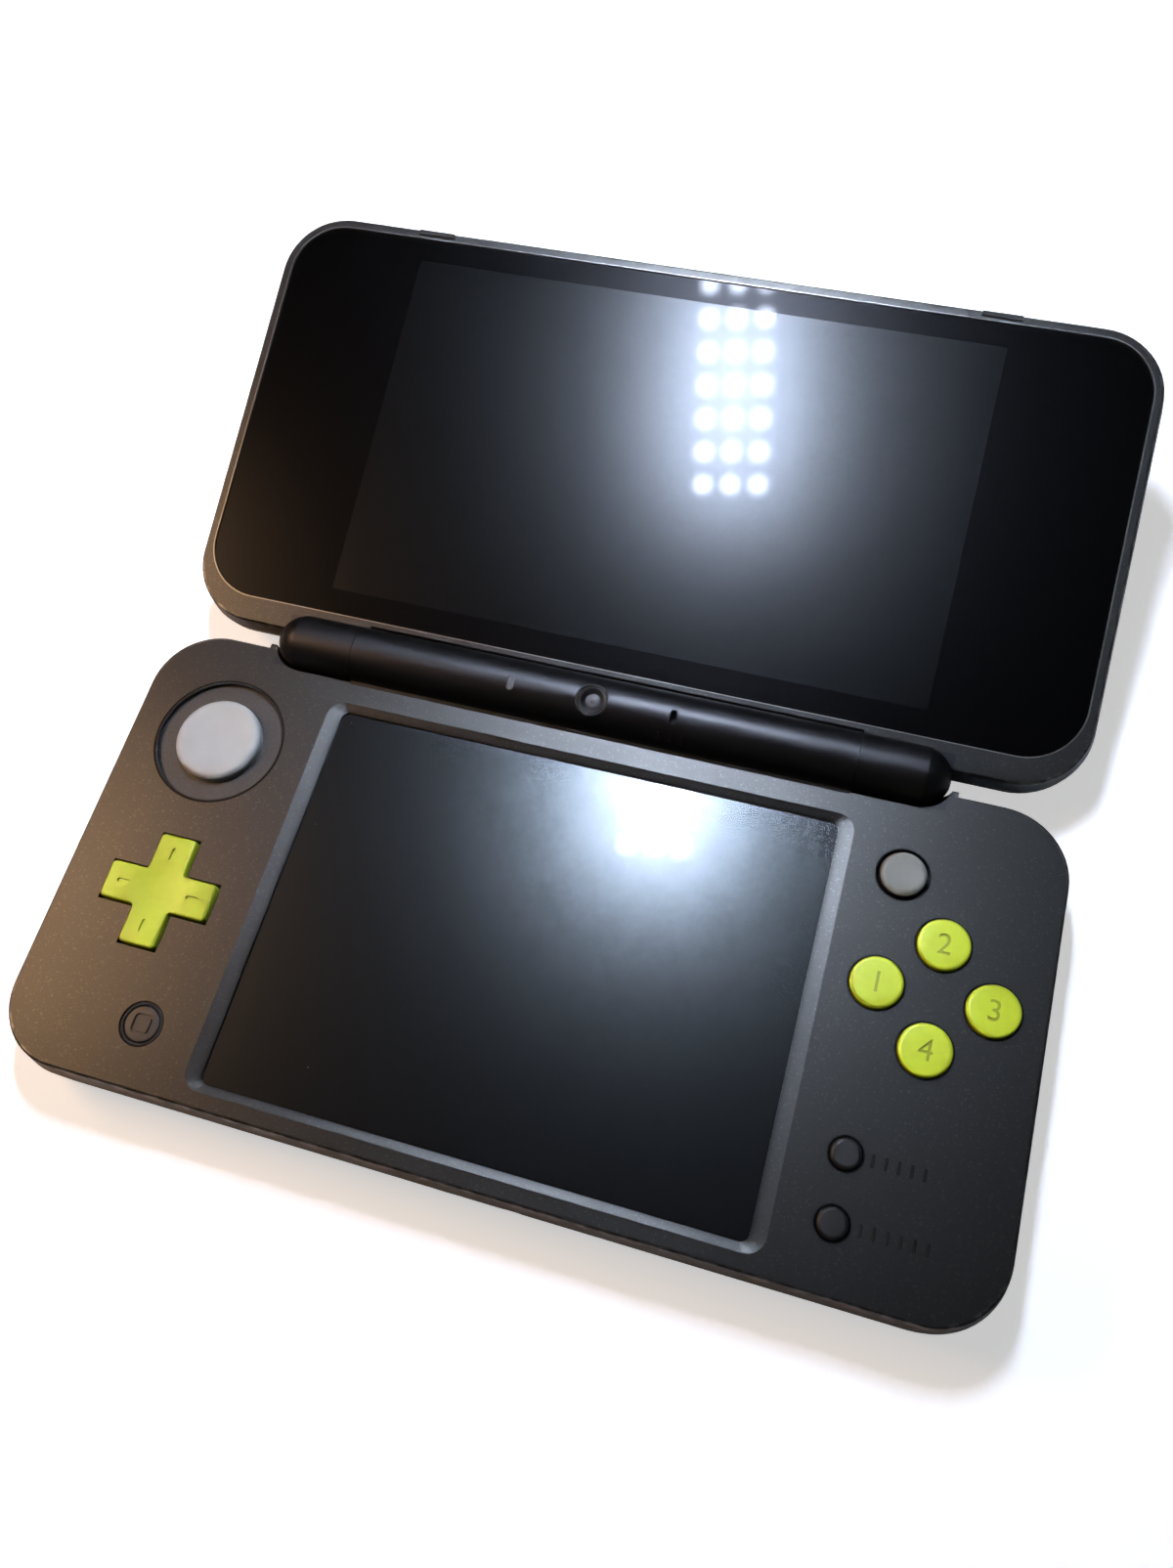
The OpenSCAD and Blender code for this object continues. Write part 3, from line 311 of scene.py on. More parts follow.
def moved(tree, place, centre):
    """Coordinates with their origin at centre."""
    node = add_node(tree, "ShaderNodeMapping", {"Vector": place})
    node.inputs["Location"].default_value = -Vector(centre)
    return node.outputs["Vector"]


def depth_inside(tree, place, half_x, half_y, corner):
    """Distance in from a rounded rectangle round the origin, seen along Z; positive inside."""
    folded = add_node(tree, "ShaderNodeVectorMath", {0: place}, operation="ABSOLUTE")
    core = (half_x - corner, half_y - corner, 0)
    past = add_node(
        tree, "ShaderNodeVectorMath", {0: folded.outputs[0], 1: core}, operation="SUBTRACT"
    )
    level = add_node(
        tree, "ShaderNodeVectorMath", {0: past.outputs[0], 1: (1, 1, 0)}, operation="MULTIPLY"
    )
    outside = add_node(
        tree, "ShaderNodeVectorMath", {0: level.outputs[0], 1: (0, 0, 0)}, operation="MAXIMUM"
    )
    length = add_node(tree, "ShaderNodeVectorMath", {0: outside.outputs[0]}, operation="LENGTH")
    return math_of(tree, "SUBTRACT", corner, length.outputs["Value"])


def on_barrel(tree, place):
    """1 on the hinge barrel and its knuckles, 0 on the cases, from coordinates round the axis."""
    parts = add_node(tree, "ShaderNodeSeparateXYZ", {"Vector": place})
    across = add_node(
        tree, "ShaderNodeVectorMath", {0: place, 1: (0, 1, 1)}, operation="MULTIPLY"
    )
    reach = add_node(tree, "ShaderNodeVectorMath", {0: across.outputs[0]}, operation="LENGTH")
    near = math_of(tree, "LESS_THAN", reach.outputs["Value"], BARREL_R + 0.06 * MM)
    inner = math_of(
        tree, "LESS_THAN", math_of(tree, "ABSOLUTE", parts.outputs["X"]), KNUCKLE_END
    )
    return math_of(tree, "MULTIPLY", near, inner)


def satin_paint(name, colours, sizes, in_lid):
    """Moulded polycarbonate under satin paint with fine metal flakes: a soft broad sheen, a grain
    that breaks it up, single bright flakes, and rubbed edges that are worn a little smoother and
    carry a painted highlight. The lid's frame has a painted highlight line round its glass, and the
    lower case has painted shade in its openings and at the foot of the window."""
    material, tree, shader, place = new_material(name)
    level = flat_in_lid(tree, place) if in_lid else place
    round_axis = level if in_lid else moved(tree, place, HINGE)
    barrel = on_barrel(tree, round_axis)
    centre = (0, HINGE.y, 0) if in_lid else (0, 0, 0)
    outline = moved(tree, level, centre) if in_lid else level
    inward = depth_inside(tree, outline, FACE_HALF_X, FACE_HALF_Y, CORNER_R)
    lumps = noise(tree, place, sizes.grain, detail=3, roughness=0.6)
    clouds = noise(tree, place, 22 * MM, detail=3)
    cells = add_node(
        tree, "ShaderNodeTexVoronoi", {"Vector": place, "Scale": 1 / sizes.flake}
    )
    pick = add_node(tree, "ShaderNodeSeparateColor", {"Color": cells.outputs["Color"]})
    bright = scaled(tree, pick.outputs["Red"], 0.9, 1.0)
    flakes = math_of(tree, "MULTIPLY", bright, scaled(tree, barrel, 0, 1, 1, 0))
    # Rubbed edges: worn a little smoother, and painted lighter as a highlight along the edge.
    edge = scaled(tree, inward, 0.45 * MM, 0.1 * MM)
    edge = math_of(tree, "MULTIPLY", edge, scaled(tree, inward, -0.5 * MM, -0.15 * MM))
    wear_and_highlight = math_of(tree, "MULTIPLY", edge, scaled(tree, noise(tree, place, 3 * MM), 0.45, 0.62))
    shade = mixed(tree, scaled(tree, clouds, 0.3, 0.7, 0, 0.2), colours.charcoal, colours.barrel)
    shade = mixed(tree, scaled(tree, lumps, 0.35, 0.75, 0, 0.05), shade, colours.flake)
    shade = mixed(tree, math_of(tree, "MULTIPLY", flakes, 0.06), shade, colours.flake)
    shade = mixed(tree, math_of(tree, "MULTIPLY", wear_and_highlight, 0.3), shade, colours.flake)
    height = math_of(
        tree, "MULTIPLY", lumps, scaled(tree, barrel, 0, 1, 0.012 * MM, 0.006 * MM)
    )
    if in_lid:
        # Painted highlight: a thin lighter line along the edge of the glass opening.
        glass = moved(tree, level, (0, LID_GLASS_MIDDLE, 0))
        corner = CORNER_R - 2.3 * MM
        rim = depth_inside(tree, glass, LID_GLASS_HALF_X, LID_GLASS_HALF_Y, corner)
        line = math_of(tree, "COMPARE", rim, 0.0)
        line.node.inputs[2].default_value = 0.16 * MM
        shade = mixed(tree, math_of(tree, "MULTIPLY", line, 0.5), shade, colours.flake)
    else:
        # Painted shade: the walls of the key and pad openings go black.
        shade = mixed(tree, in_opening(tree, place, inward), shade, SHADE_BLACK)
        sloped = window_depth(tree, place)
        # Painted shade: black rims round the round openings, and darkening towards the foot of the
        # window's slope.
        edges = round_openings(tree, place)
        dark = math_of(tree, "MAXIMUM", edges, window_foot(tree, place, sloped))
        shade = mixed(tree, dark, shade, SHADE_BLACK)
        height = math_of(tree, "ADD", height, scaled(tree, sloped, 0, 2.4 * MM, 0, 0.48 * MM))
    feed(tree, shader, "Base Color", mixed(tree, barrel, shade, colours.barrel))
    cloudy = scaled(tree, clouds, 0, 1, 0.375, 0.425)
    rough = math_of(tree, "SUBTRACT", cloudy, math_of(tree, "MULTIPLY", wear_and_highlight, 0.1))
    feed(tree, shader, "Roughness", rough)
    bump(tree, shader, height, 1.0)
    set_sockets(shader, Metallic=0.97)
    return material


def window_depth(tree, place):
    """Distance in from the outer lip of the slope round the window, over the whole lower case."""
    window = moved(tree, place, WINDOW_MIDDLE)
    return depth_inside(tree, window, WINDOW_HALF_X, WINDOW_HALF_Y, 3 * MM)


def window_foot(tree, place, sloped):
    """Painted shade: 0 on the face, rising to 1 at the foot of the window's slope, next to the
    film.
    """
    foot = scaled(tree, height_of(tree, place), TOP_Z - 0.3 * MM, TOP_Z - 0.9 * MM)
    inside = math_of(tree, "GREATER_THAN", sloped, 0.1 * MM)
    return math_of(tree, "MULTIPLY", math_of(tree, "POWER", foot, 2.5), inside)


def round_openings(tree, place):
    """1 on the thin edge round each round opening, which is painted black as the shade at its rim.
    """
    level = add_node(tree, "ShaderNodeVectorMath", {0: place, 1: (1, 1, 0)}, operation="MULTIPLY")
    edge = 0.0
    for name in ROUND_KEYS:
        centre = middle(name)
        centre.z = 0
        radius = min((Vector((p.x, p.y, 0)) - centre).length for p in FACE_POINTS)
        reach = add_node(
            tree, "ShaderNodeVectorMath", {0: level.outputs[0], 1: centre}, operation="DISTANCE"
        )
        near = scaled(tree, reach.outputs["Value"], radius + 0.28 * MM, radius + 0.12 * MM)
        edge = math_of(tree, "MAXIMUM", edge, near)
    return edge


def in_opening(tree, place, inward):
    """1 on the walls of the openings for the keys and pads, which are painted black as shade."""
    sloped = window_depth(tree, place)
    low = math_of(tree, "LESS_THAN", height_of(tree, place), TOP_Z - 0.07 * MM)
    beside = math_of(tree, "LESS_THAN", sloped, -0.5 * MM)
    within = math_of(tree, "GREATER_THAN", inward, 3 * MM)
    return math_of(tree, "MULTIPLY", low, math_of(tree, "MULTIPLY", beside, within))


def shell_plastic(name, colour, sizes):
    """Moulded ABS with a fine spark-eroded grain: nearly black, with an even matt sheen."""
    material, tree, shader, place = new_material(name)
    grain = noise(tree, place, sizes.grain, detail=2)
    clouds = noise(tree, place, 14 * MM)
    feed(tree, shader, "Base Color", mixed(tree, clouds, colour, tuple(c * 1.5 for c in colour)))
    feed(tree, shader, "Roughness", scaled(tree, clouds, 0.2, 0.8, 0.42, 0.54))
    bump(tree, shader, grain, 0.03 * MM, 0.5)
    return material


def key_plastic(name, colour, rough, clear=0.0, spacing=1.2 * MM, skirt_z=0.0):
    """Moulded ABS keys: an even colour with faint flow marks, polished a little by fingers. What
    lies below skirt_z is black."""
    material, tree, shader, place = new_material(name)
    marks = noise(tree, place, spacing, detail=3)
    wear = noise(tree, place, 5 * MM)
    darker = tuple(c * 0.95 for c in colour)
    shade = mixed(tree, scaled(tree, marks, 0.3, 0.7), darker, colour)
    skirt = scaled(tree, height_of(tree, place), skirt_z, skirt_z - 0.15 * MM)
    feed(tree, shader, "Base Color", mixed(tree, skirt, shade, (0.006, 0.006, 0.006)))
    feed(tree, shader, "Roughness", scaled(tree, wear, 0.25, 0.75, rough - 0.04, rough + 0.04))
    bump(tree, shader, noise(tree, place, 0.3 * MM), 0.008 * MM, 0.5)
    set_sockets(shader, Coat_Weight=clear, Coat_Roughness=0.25)
    return material


def pad_plastic(name, colours, sizes):
    """Circle pad: a pale soft-touch thumb cap on a disc in the same satin paint as the case."""
    material, tree, shader, place = new_material(name)
    centre = middle("circle_pad")
    around = moved(tree, place, (centre.x, centre.y, 0))
    level = add_node(
        tree, "ShaderNodeVectorMath", {0: around, 1: (1, 1, 0)}, operation="MULTIPLY"
    )
    reach = add_node(tree, "ShaderNodeVectorMath", {0: level.outputs[0]}, operation="LENGTH")
    disc = math_of(tree, "GREATER_THAN", reach.outputs["Value"], PAD_CAP_R)
    shadow = scaled(tree, reach.outputs["Value"], PAD_SHADOW_FROM, PAD_SHADOW_TO)
    lumps = noise(tree, place, sizes.grain, detail=3)
    paint = mixed(tree, scaled(tree, lumps, 0.35, 0.75, 0, 0.05), linear("#1f1f1e"), colours.flake)
    paint = mixed(tree, shadow, paint, (0, 0, 0))
    cap = mixed(
        tree, scaled(tree, noise(tree, place, 4 * MM), 0.3, 0.7, 0, 0.12), colours.pale, colours.nub
    )
    feed(tree, shader, "Base Color", mixed(tree, disc, cap, paint))
    feed(tree, shader, "Roughness", scaled(tree, disc, 0, 1, 0.46, 0.5))
    bump(tree, shader, lumps, 0.03 * MM, 0.35)
    return material


def dust_on(tree, place, spacing, share):
    """1 on single specks of dust, spacing metres apart, on a share of the places."""
    cells = add_node(tree, "ShaderNodeTexVoronoi", {"Vector": place, "Scale": 1 / spacing})
    pick = add_node(tree, "ShaderNodeSeparateColor", {"Color": cells.outputs["Color"]})
    chosen = math_of(tree, "LESS_THAN", pick.outputs["Green"], share)
    speck = math_of(tree, "LESS_THAN", cells.outputs["Distance"], 0.022)
    return math_of(tree, "MULTIPLY", chosen, speck)


def touch_film(name, colours):
    """Resistive touch film over a dark display: a matt film that spreads a lamp's reflection into
    a wide cool glow, with single specks of dust."""
    material, tree, shader, place = new_material(name)
    dust = dust_on(tree, place, 3.2 * MM, 0.14)
    feed(tree, shader, "Base Color", mixed(tree, dust, colours.screen, linear("#8a8d92")))
    grit = noise(tree, place, 0.12 * MM, detail=2)
    feed(tree, shader, "Roughness", scaled(tree, grit, 0.3, 0.7, 0.238, 0.248))
    bump(tree, shader, grit, 0.008 * MM)
    set_sockets(shader, IOR=1.5, Specular_IOR_Level=0.55, Specular_Tint=(0.88, 0.96, 1, 1))
    set_sockets(shader, Coat_Weight=0.12, Coat_Roughness=0.03)
    return material


def lid_window(name, colours):
    """Hard acrylic over the upper display: mirror-smooth in front, printed black round the
    picture, and matt behind it where the display shows as a lighter field."""
    material, tree, shader, place = new_material(name)
    level = flat_in_lid(tree, place)
    picture = moved(tree, level, (0, PICTURE_MIDDLE, 0))
    inward = depth_inside(tree, picture, PICTURE_HALF_X, PICTURE_HALF_Y, 0.4 * MM)
    shown = math_of(tree, "GREATER_THAN", inward, 0.0)
    dust = dust_on(tree, level, 5 * MM, 0.08)
    grit = noise(tree, place, 0.25 * MM, detail=2)
    display = mixed(tree, grit, linear("#262627"), linear("#292a2b"))
    shade = mixed(tree, shown, linear("#151516"), display)
    feed(tree, shader, "Base Color", mixed(tree, dust, shade, linear("#77797c")))
    feed(tree, shader, "Roughness", scaled(tree, shown, 0, 1, 0.3, 0.265))
    set_sockets(shader, Metallic=1.0, Coat_IOR=1.49, Coat_Weight=0.065, Coat_Roughness=0.03)
    return material


def plain_finish(name, colour, rough, metallic=0.0, spacing=0.6 * MM, depth=0.01 * MM):
    """Parts inside the case: the right colour and sheen, with a fine surface grain."""
    material, tree, shader, place = new_material(name)
    grain = noise(tree, place, spacing, detail=3)
    darker = tuple(c * 0.7 for c in colour)
    feed(tree, shader, "Base Color", mixed(tree, scaled(tree, grain, 0.3, 0.7), darker, colour))
    feed(tree, shader, "Roughness", scaled(tree, grain, 0.2, 0.8, rough - 0.05, rough + 0.08))
    set_sockets(shader, Metallic=metallic)
    bump(tree, shader, grain, depth, 0.5)
    return material


def lens_glass(name, colour, rough=0.03):
    """Coated lens: a dark curved mirror with a cool tint."""
    material, tree, shader, place = new_material(name)
    tint = noise(tree, place, 1.5 * MM)
    feed(tree, shader, "Base Color", mixed(tree, tint, colour, tuple(c * 0.4 for c in colour)))
    set_sockets(shader, Roughness=rough, Coat_Weight=1.0, Coat_Roughness=0.02, IOR=1.6)
    return material


def dress(material, *names):
    """Gives construction nodes their finish."""
    for name in names:
        for slot in NODES[name].material_slots:
            slot.material = material


# ---- Modelling helpers ----


def deselect():
    if bpy.context.object and bpy.context.object.mode != "OBJECT":
        bpy.ops.object.mode_set(mode="OBJECT")
    bpy.ops.object.select_all(action="DESELECT")


def take(piece):
    """Makes piece the only selected object, and the active one."""
    deselect()
    piece.select_set(True)
    bpy.context.view_layer.objects.active = piece


def settle(piece, name, material, body):
    """Applies the piece's place, names it, dresses it and lets it ride on its body."""
    take(piece)
    bpy.ops.object.transform_apply(location=True, rotation=True, scale=True)
    piece.name = name
    piece.data.name = name
    piece.data.materials.clear()
    piece.data.materials.append(material)
    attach(piece, body)
    return piece


def copy_of(node_name):
    """A merged copy of a construction node, free to be shaped."""
    source = NODES[node_name]
    piece = bpy.data.objects.new(node_name + "_finished", source.data.copy())
    bpy.context.scene.collection.objects.link(piece)
    take(piece)
    bpy.ops.object.mode_set(mode="EDIT")
    bpy.ops.mesh.select_all(action="SELECT")
    bpy.ops.mesh.remove_doubles(threshold=0.001 * MM)
    bpy.ops.mesh.normals_make_consistent(inside=False)
    bpy.ops.object.mode_set(mode="OBJECT")
    normals = piece.data.attributes.get("custom_normal")
    if normals:
        piece.data.attributes.remove(normals)
    return piece


def cut(piece, tool):
    """Cuts the tool's shape out of the piece, and removes the tool."""
    take(piece)
    modifier = piece.modifiers.new("cut", "BOOLEAN")
    modifier.operation = "DIFFERENCE"
    modifier.solver = "EXACT"
    modifier.object = tool
    bpy.ops.object.modifier_apply(modifier=modifier.name)
    bpy.data.objects.remove(tool)
    bpy.ops.object.shade_smooth_by_angle(angle=math.radians(32))


def pill(length, width, height, place, turn=0.0):
    """Bar with round ends that lies along X, its middle at place."""
    radius = width / 2
    bpy.ops.mesh.primitive_cylinder_add(vertices=32, radius=radius, depth=height, location=place)
    bar = bpy.context.object
    bpy.ops.object.mode_set(mode="EDIT")
    bpy.ops.mesh.select_all(action="DESELECT")
    bpy.ops.object.mode_set(mode="OBJECT")
    for vertex in bar.data.vertices:
        vertex.select = vertex.co.x > 1e-7
    bpy.ops.object.mode_set(mode="EDIT")
    bpy.ops.transform.translate(value=(length - width, 0, 0))
    bpy.ops.mesh.select_all(action="SELECT")
    bpy.ops.transform.translate(value=(-(length - width) / 2, 0, 0))
    bpy.ops.object.mode_set(mode="OBJECT")
    bar.rotation_euler.z = turn
    return bar


def bevel_edges(piece, width, segments, chosen):
    """Rounds the edges for which chosen(first, second) is true."""
    take(piece)
    bpy.ops.object.mode_set(mode="EDIT")
    bpy.ops.mesh.select_mode(type="EDGE")
    bpy.ops.mesh.select_all(action="DESELECT")
    bpy.ops.object.mode_set(mode="OBJECT")
    points = piece.data.vertices
    for edge in piece.data.edges:
        edge.select = chosen(*(points[v].co for v in edge.vertices))
    bpy.ops.object.mode_set(mode="EDIT")
    bpy.ops.mesh.bevel(offset=width, segments=segments, profile=0.5, affect="EDGES")
    bpy.ops.object.mode_set(mode="OBJECT")


# ---- Operators ----


class CONSOLE_OT_finish_cases(bpy.types.Operator):
    """Paint the cases, and give the shells, screws and insides their finishes"""

    bl_idname = "console.finish_cases"
    bl_label = "Finish Cases"

    def execute(self, context):
        colours = context.scene.console_colours
        sizes = context.scene.console_sizes
        dress(satin_paint("satin_painted_polycarbonate", colours, sizes, False), "top_frame")
        dress(satin_paint("satin_painted_lid_frame", colours, sizes, True), "lid_inner_frame")
        shell = shell_plastic("spark_grained_abs", colours.shell, sizes)
        dress(shell, "back_cover", "card_door", "lid_outer_shell")
        steel = plain_finish("nickel_plated_steel", linear("#a9adb2"), 0.32, metallic=1.0)
        dress(
            steel,
            "back_screws",
            "lid_screws",
            "card_slot",
            "charging_port",
            "friction_hinge_shaft",
            "hinge_cable_sleeve",
            "lid_magnet",
            "memory_card_socket",
            "nub_sensor",
            "wireless_module",
        )
        board = plain_finish("solder_masked_board", linear("#2f5b3f"), 0.35)
        dress(board, "circuit_board")
        dress(plain_finish("battery_wrap", linear("#4a4f57"), 0.5), "battery")
        mat = plain_finish("silicone_rubber", linear("#77797c"), 0.62)
        dress(mat, "left_button_mat", "right_button_mat", "small_button_mat")
        dress(plain_finish("polyimide_flex", linear("#8a5a2b"), 0.4), "display_cable")
        rubber = plain_finish("black_elastomer_and_shade_rings", linear("#101011"), 0.7)
        dress(rubber, "lid_bumpers", "microphone")
        dress(plain_finish("infrared_acrylic", linear("#2b1517"), 0.08), "infrared_window")
        return {"FINISHED"}


class CONSOLE_OT_finish_screens(bpy.types.Operator):
    """Finish both screens and their displays"""

    bl_idname = "console.finish_screens"
    bl_label = "Finish Screens"

    def execute(self, context):
        colours = context.scene.console_colours
        dress(touch_film("matt_touch_film", colours), "touch_glass")
        dress(lid_window("printed_acrylic_window", colours), "lid_glass")
        display = plain_finish("display_panel", colours.screen, 0.3)
        dress(display, "lower_display", "upper_display")
        return {"FINISHED"}


class CONSOLE_OT_finish_controls(bpy.types.Operator):
    """Finish the pads, keys and sockets"""

    bl_idname = "console.finish_controls"
    bl_label = "Finish Controls"

    def execute(self, context):
        colours = context.scene.console_colours
        sizes = context.scene.console_sizes
        dress(pad_plastic("soft_touch_pad", colours, sizes), "circle_pad")
        stick = key_plastic("soft_touch_stick", colours.nub, 0.6, skirt_z=STICK_SKIRT_Z)
        dress(stick, "small_stick")
        key_plastic("lime_abs", colours.lime, 0.38, clear=0.3)
        key_plastic("lime_abs_in_shade", tuple(c * 0.6 for c in colours.lime), 0.5)
        key_plastic("lime_abs_of_the_cross", tuple(c * 0.68 for c in colours.lime), 0.44, clear=0.1)
        dark = key_plastic("black_abs", colours.key, 0.42)
        dress(
            dark,
            "audio_jack",
            "direction_pad_pivot",
            "front_small_button",
            "rear_small_button",
            "left_shoulder_button",
            "right_shoulder_button",
            "left_speaker",
            "right_speaker",
            "left_trigger",
            "right_trigger",
            "nub_yoke",
            "pad_carriage",
            "pad_housing",
            "power_button",
            "stylus",
            "stylus_holder",
            "volume_slider",
        )
        light = plain_finish("frosted_light_pipe", linear("#5d6064"), 0.4)
        dress(light, "status_light", "power_light")
        dress(lens_glass("camera_housing", linear("#141416"), 0.3), "inner_camera", "outer_cameras")
        return {"FINISHED"}


class CONSOLE_OT_engrave_buttons(bpy.types.Operator):
    """Engrave plain numerals in the face buttons and an outline in the home button"""

    bl_idname = "console.engrave_buttons"
    bl_label = "Engrave Buttons"

    def execute(self, context):
        sizes = context.scene.console_sizes
        lime = bpy.data.materials["lime_abs"]
        shaded = bpy.data.materials["lime_abs_in_shade"]
        order = ("face_button_left", "face_button_rear", "face_button_right", "face_button_front")
        for number, name in enumerate(order, start=1):
            button = copy_of(name)
            top = middle(name)
            top.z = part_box(name)[1].z
            ring = shoulder(FACE_KEY_R, KEY_SHOULDER_WIDTH, KEY_SHOULDER_DROP)
            ring.data.transform(Matrix.Translation(top))
            cut(button, ring)
            cut(button, numeral(str(number), sizes.numeral, sizes.engraving, top))
            settle(button, name + "_engraved", lime, name)
            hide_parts(name)
            floor = top - Vector((0, 0, sizes.engraving))
            fill = numeral(str(number), sizes.numeral, 0.02 * MM, floor)
            settle(fill, name + "_numeral", shaded, name)
        name = "home_button"
        button = copy_of(name)
        top = middle(name)
        top.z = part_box(name)[1].z
        cut(button, square_outline(sizes.outline, 0.38 * MM, sizes.engraving, top))
        settle(button, name + "_engraved", bpy.data.materials["black_abs"], name)
        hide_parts(name)
        return {"FINISHED"}


def shoulder(radius, width, drop):
    """Ring that leaves a key with a wide rounded shoulder, the key's top at the origin. Its steps
    are shares of the shoulder's width and drop."""
    steps = (
        (0.0, 0.0),
        (0.15, 0.03),
        (0.3, 0.1),
        (0.45, 0.2),
        (0.63, 0.36),
        (0.8, 0.54),
        (0.93, 0.74),
    )
    arc = [(radius - width + width * out, -drop * down) for out, down in steps]
    rim = [(radius, -drop), (radius + 0.5 * MM, -drop), (radius + 0.5 * MM, MM)]
    ring = [*arc, *rim, (radius - width, MM), arc[0]]
    return turned([(r / MM, z / MM) for r, z in ring], "shoulder")


def numeral(sign, height, depth, top):
    """Solid numeral that reaches depth below top, to be cut out of a button."""
    deselect()
    bpy.ops.object.text_add(location=top)
    tool = bpy.context.object
    tool.data.body = sign
    tool.data.align_x = "CENTER"
    tool.data.align_y = "CENTER"
    tool.data.size = height / 0.7
    tool.data.extrude = depth
    tool.data.resolution_u = 8
    bpy.ops.object.convert(target="MESH")
    tool = bpy.context.object
    bpy.ops.object.mode_set(mode="EDIT")
    bpy.ops.mesh.select_all(action="SELECT")
    bpy.ops.mesh.remove_doubles(threshold=0.001 * MM)
    bpy.ops.object.mode_set(mode="OBJECT")
    take(tool)
    bpy.ops.object.transform_apply(location=True, rotation=True, scale=True)
    low = Vector(map(min, zip(*(v.co for v in tool.data.vertices))))
    high = Vector(map(max, zip(*(v.co for v in tool.data.vertices))))
    shift = top - (low + high) / 2
    tool.data.transform(Matrix.Translation((shift.x, shift.y, 0)))
    return tool


def square_outline(width, line, depth, top):
    """Solid outline of a rounded square that reaches depth below top."""
    deselect()
    bpy.ops.mesh.primitive_cube_add(size=1, location=top, scale=(width, width, 2 * depth))
    tool = bpy.context.object
    bpy.ops.object.transform_apply(location=False, rotation=False, scale=True)
    bevel_edges(tool, 0.8 * MM, 6, lambda a, b: abs(a.z - b.z) > depth)
    take(tool)
    bpy.ops.object.mode_set(mode="EDIT")
    bpy.ops.mesh.select_mode(type="FACE")
    bpy.ops.mesh.select_all(action="DESELECT")
    bpy.ops.object.mode_set(mode="OBJECT")
    for face in tool.data.polygons:
        face.select = abs(face.normal.z) > 0.9
    bpy.ops.object.mode_set(mode="EDIT")
    bpy.ops.mesh.inset(thickness=line)
    bpy.ops.mesh.bridge_edge_loops()
    bpy.ops.object.mode_set(mode="OBJECT")
    take(tool)
    bpy.ops.object.transform_apply(location=True, rotation=True, scale=True)
    return tool


class CONSOLE_OT_shape_direction_pad(bpy.types.Operator):
    """Model the direction pad's cross with its rounded edges, hollow middle and four dashes"""

    bl_idname = "console.shape_direction_pad"
    bl_label = "Shape Direction Pad"

    def execute(self, context):
        sizes = context.scene.console_sizes
        top = middle("direction_pad")
        top.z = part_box("direction_pad")[1].z
        cross = self.block_cross(sizes.cross_span / 2, sizes.cross_arm / 2, CROSS_HEIGHT)
        self.round_cross(cross, sizes.cross_span / 2)
        cross.location = (top.x, top.y, top.z - CROSS_HEIGHT)
        take(cross)
        bpy.ops.object.transform_apply(location=True, rotation=True, scale=True)
        deselect()
        rise = Vector((0, 0, CROSS_HOLLOW_R - CROSS_HOLLOW_DEPTH))
        bpy.ops.mesh.primitive_uv_sphere_add(
            segments=128, ring_count=96, radius=CROSS_HOLLOW_R, location=top + rise
        )
        cut(cross, bpy.context.object)
        for turn in range(4):
            angle = turn * math.pi / 2
            out = Vector((math.cos(angle), math.sin(angle), 0)) * DASH_PLACE
            deselect()
            cut(cross, pill(2.3 * MM, 0.7 * MM, 0.7 * MM, top + out, angle))
        lime = bpy.data.materials["lime_abs_of_the_cross"]
        settle(cross, "direction_pad_cross", lime, "direction_pad")
        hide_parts("direction_pad")
        return {"FINISHED"}

    def block_cross(self, half, arm, height):
        """Cube with four arms drawn out of its sides, its foot at the origin."""
        deselect()
        bpy.ops.mesh.primitive_cube_add(size=1, scale=(2 * arm, 2 * arm, height))
        cross = bpy.context.object
        bpy.ops.object.transform_apply(location=False, rotation=False, scale=True)
        for turn in range(4):
            axis = Vector((math.cos(turn * math.pi / 2), math.sin(turn * math.pi / 2), 0))
            take(cross)
            bpy.ops.object.mode_set(mode="EDIT")
            bpy.ops.mesh.select_mode(type="FACE")
            bpy.ops.mesh.select_all(action="DESELECT")
            bpy.ops.object.mode_set(mode="OBJECT")
            for face in cross.data.polygons:
                out = face.center.dot(axis)
                aside = face.center - axis * out
                face.select = face.normal.dot(axis) > 0.9 and aside.length < arm / 2
            bpy.ops.object.mode_set(mode="EDIT")
            bpy.ops.mesh.extrude_region_move(
                TRANSFORM_OT_translate={"value": axis * (half - arm)}
            )
            bpy.ops.object.mode_set(mode="OBJECT")
        bpy.ops.object.mode_set(mode="EDIT")
        bpy.ops.mesh.select_all(action="SELECT")
        bpy.ops.transform.translate(value=(0, 0, height / 2))
        bpy.ops.mesh.dissolve_limited(angle_limit=math.radians(2))
        bpy.ops.object.mode_set(mode="OBJECT")
        return cross

    def round_cross(self, cross, half):
        """Rounds the arms' ends, the inner corners and then the whole upper edge."""
        top = max(v.co.z for v in cross.data.vertices)

        def at_end(a, b):
            return abs(a.z - b.z) > top / 2 and max(abs(a.x), abs(a.y)) > half * 0.9

        def at_inner_corner(a, b):
            return abs(a.z - b.z) > top / 2 and max(abs(a.x), abs(a.y)) < half * 0.6

        def on_top(a, b):
            return min(a.z, b.z) > top - 1e-6

        bevel_edges(cross, 0.75 * MM, 5, at_end)
        bevel_edges(cross, 0.5 * MM, 5, at_inner_corner)
        bevel_edges(cross, 0.42 * MM, 5, on_top)


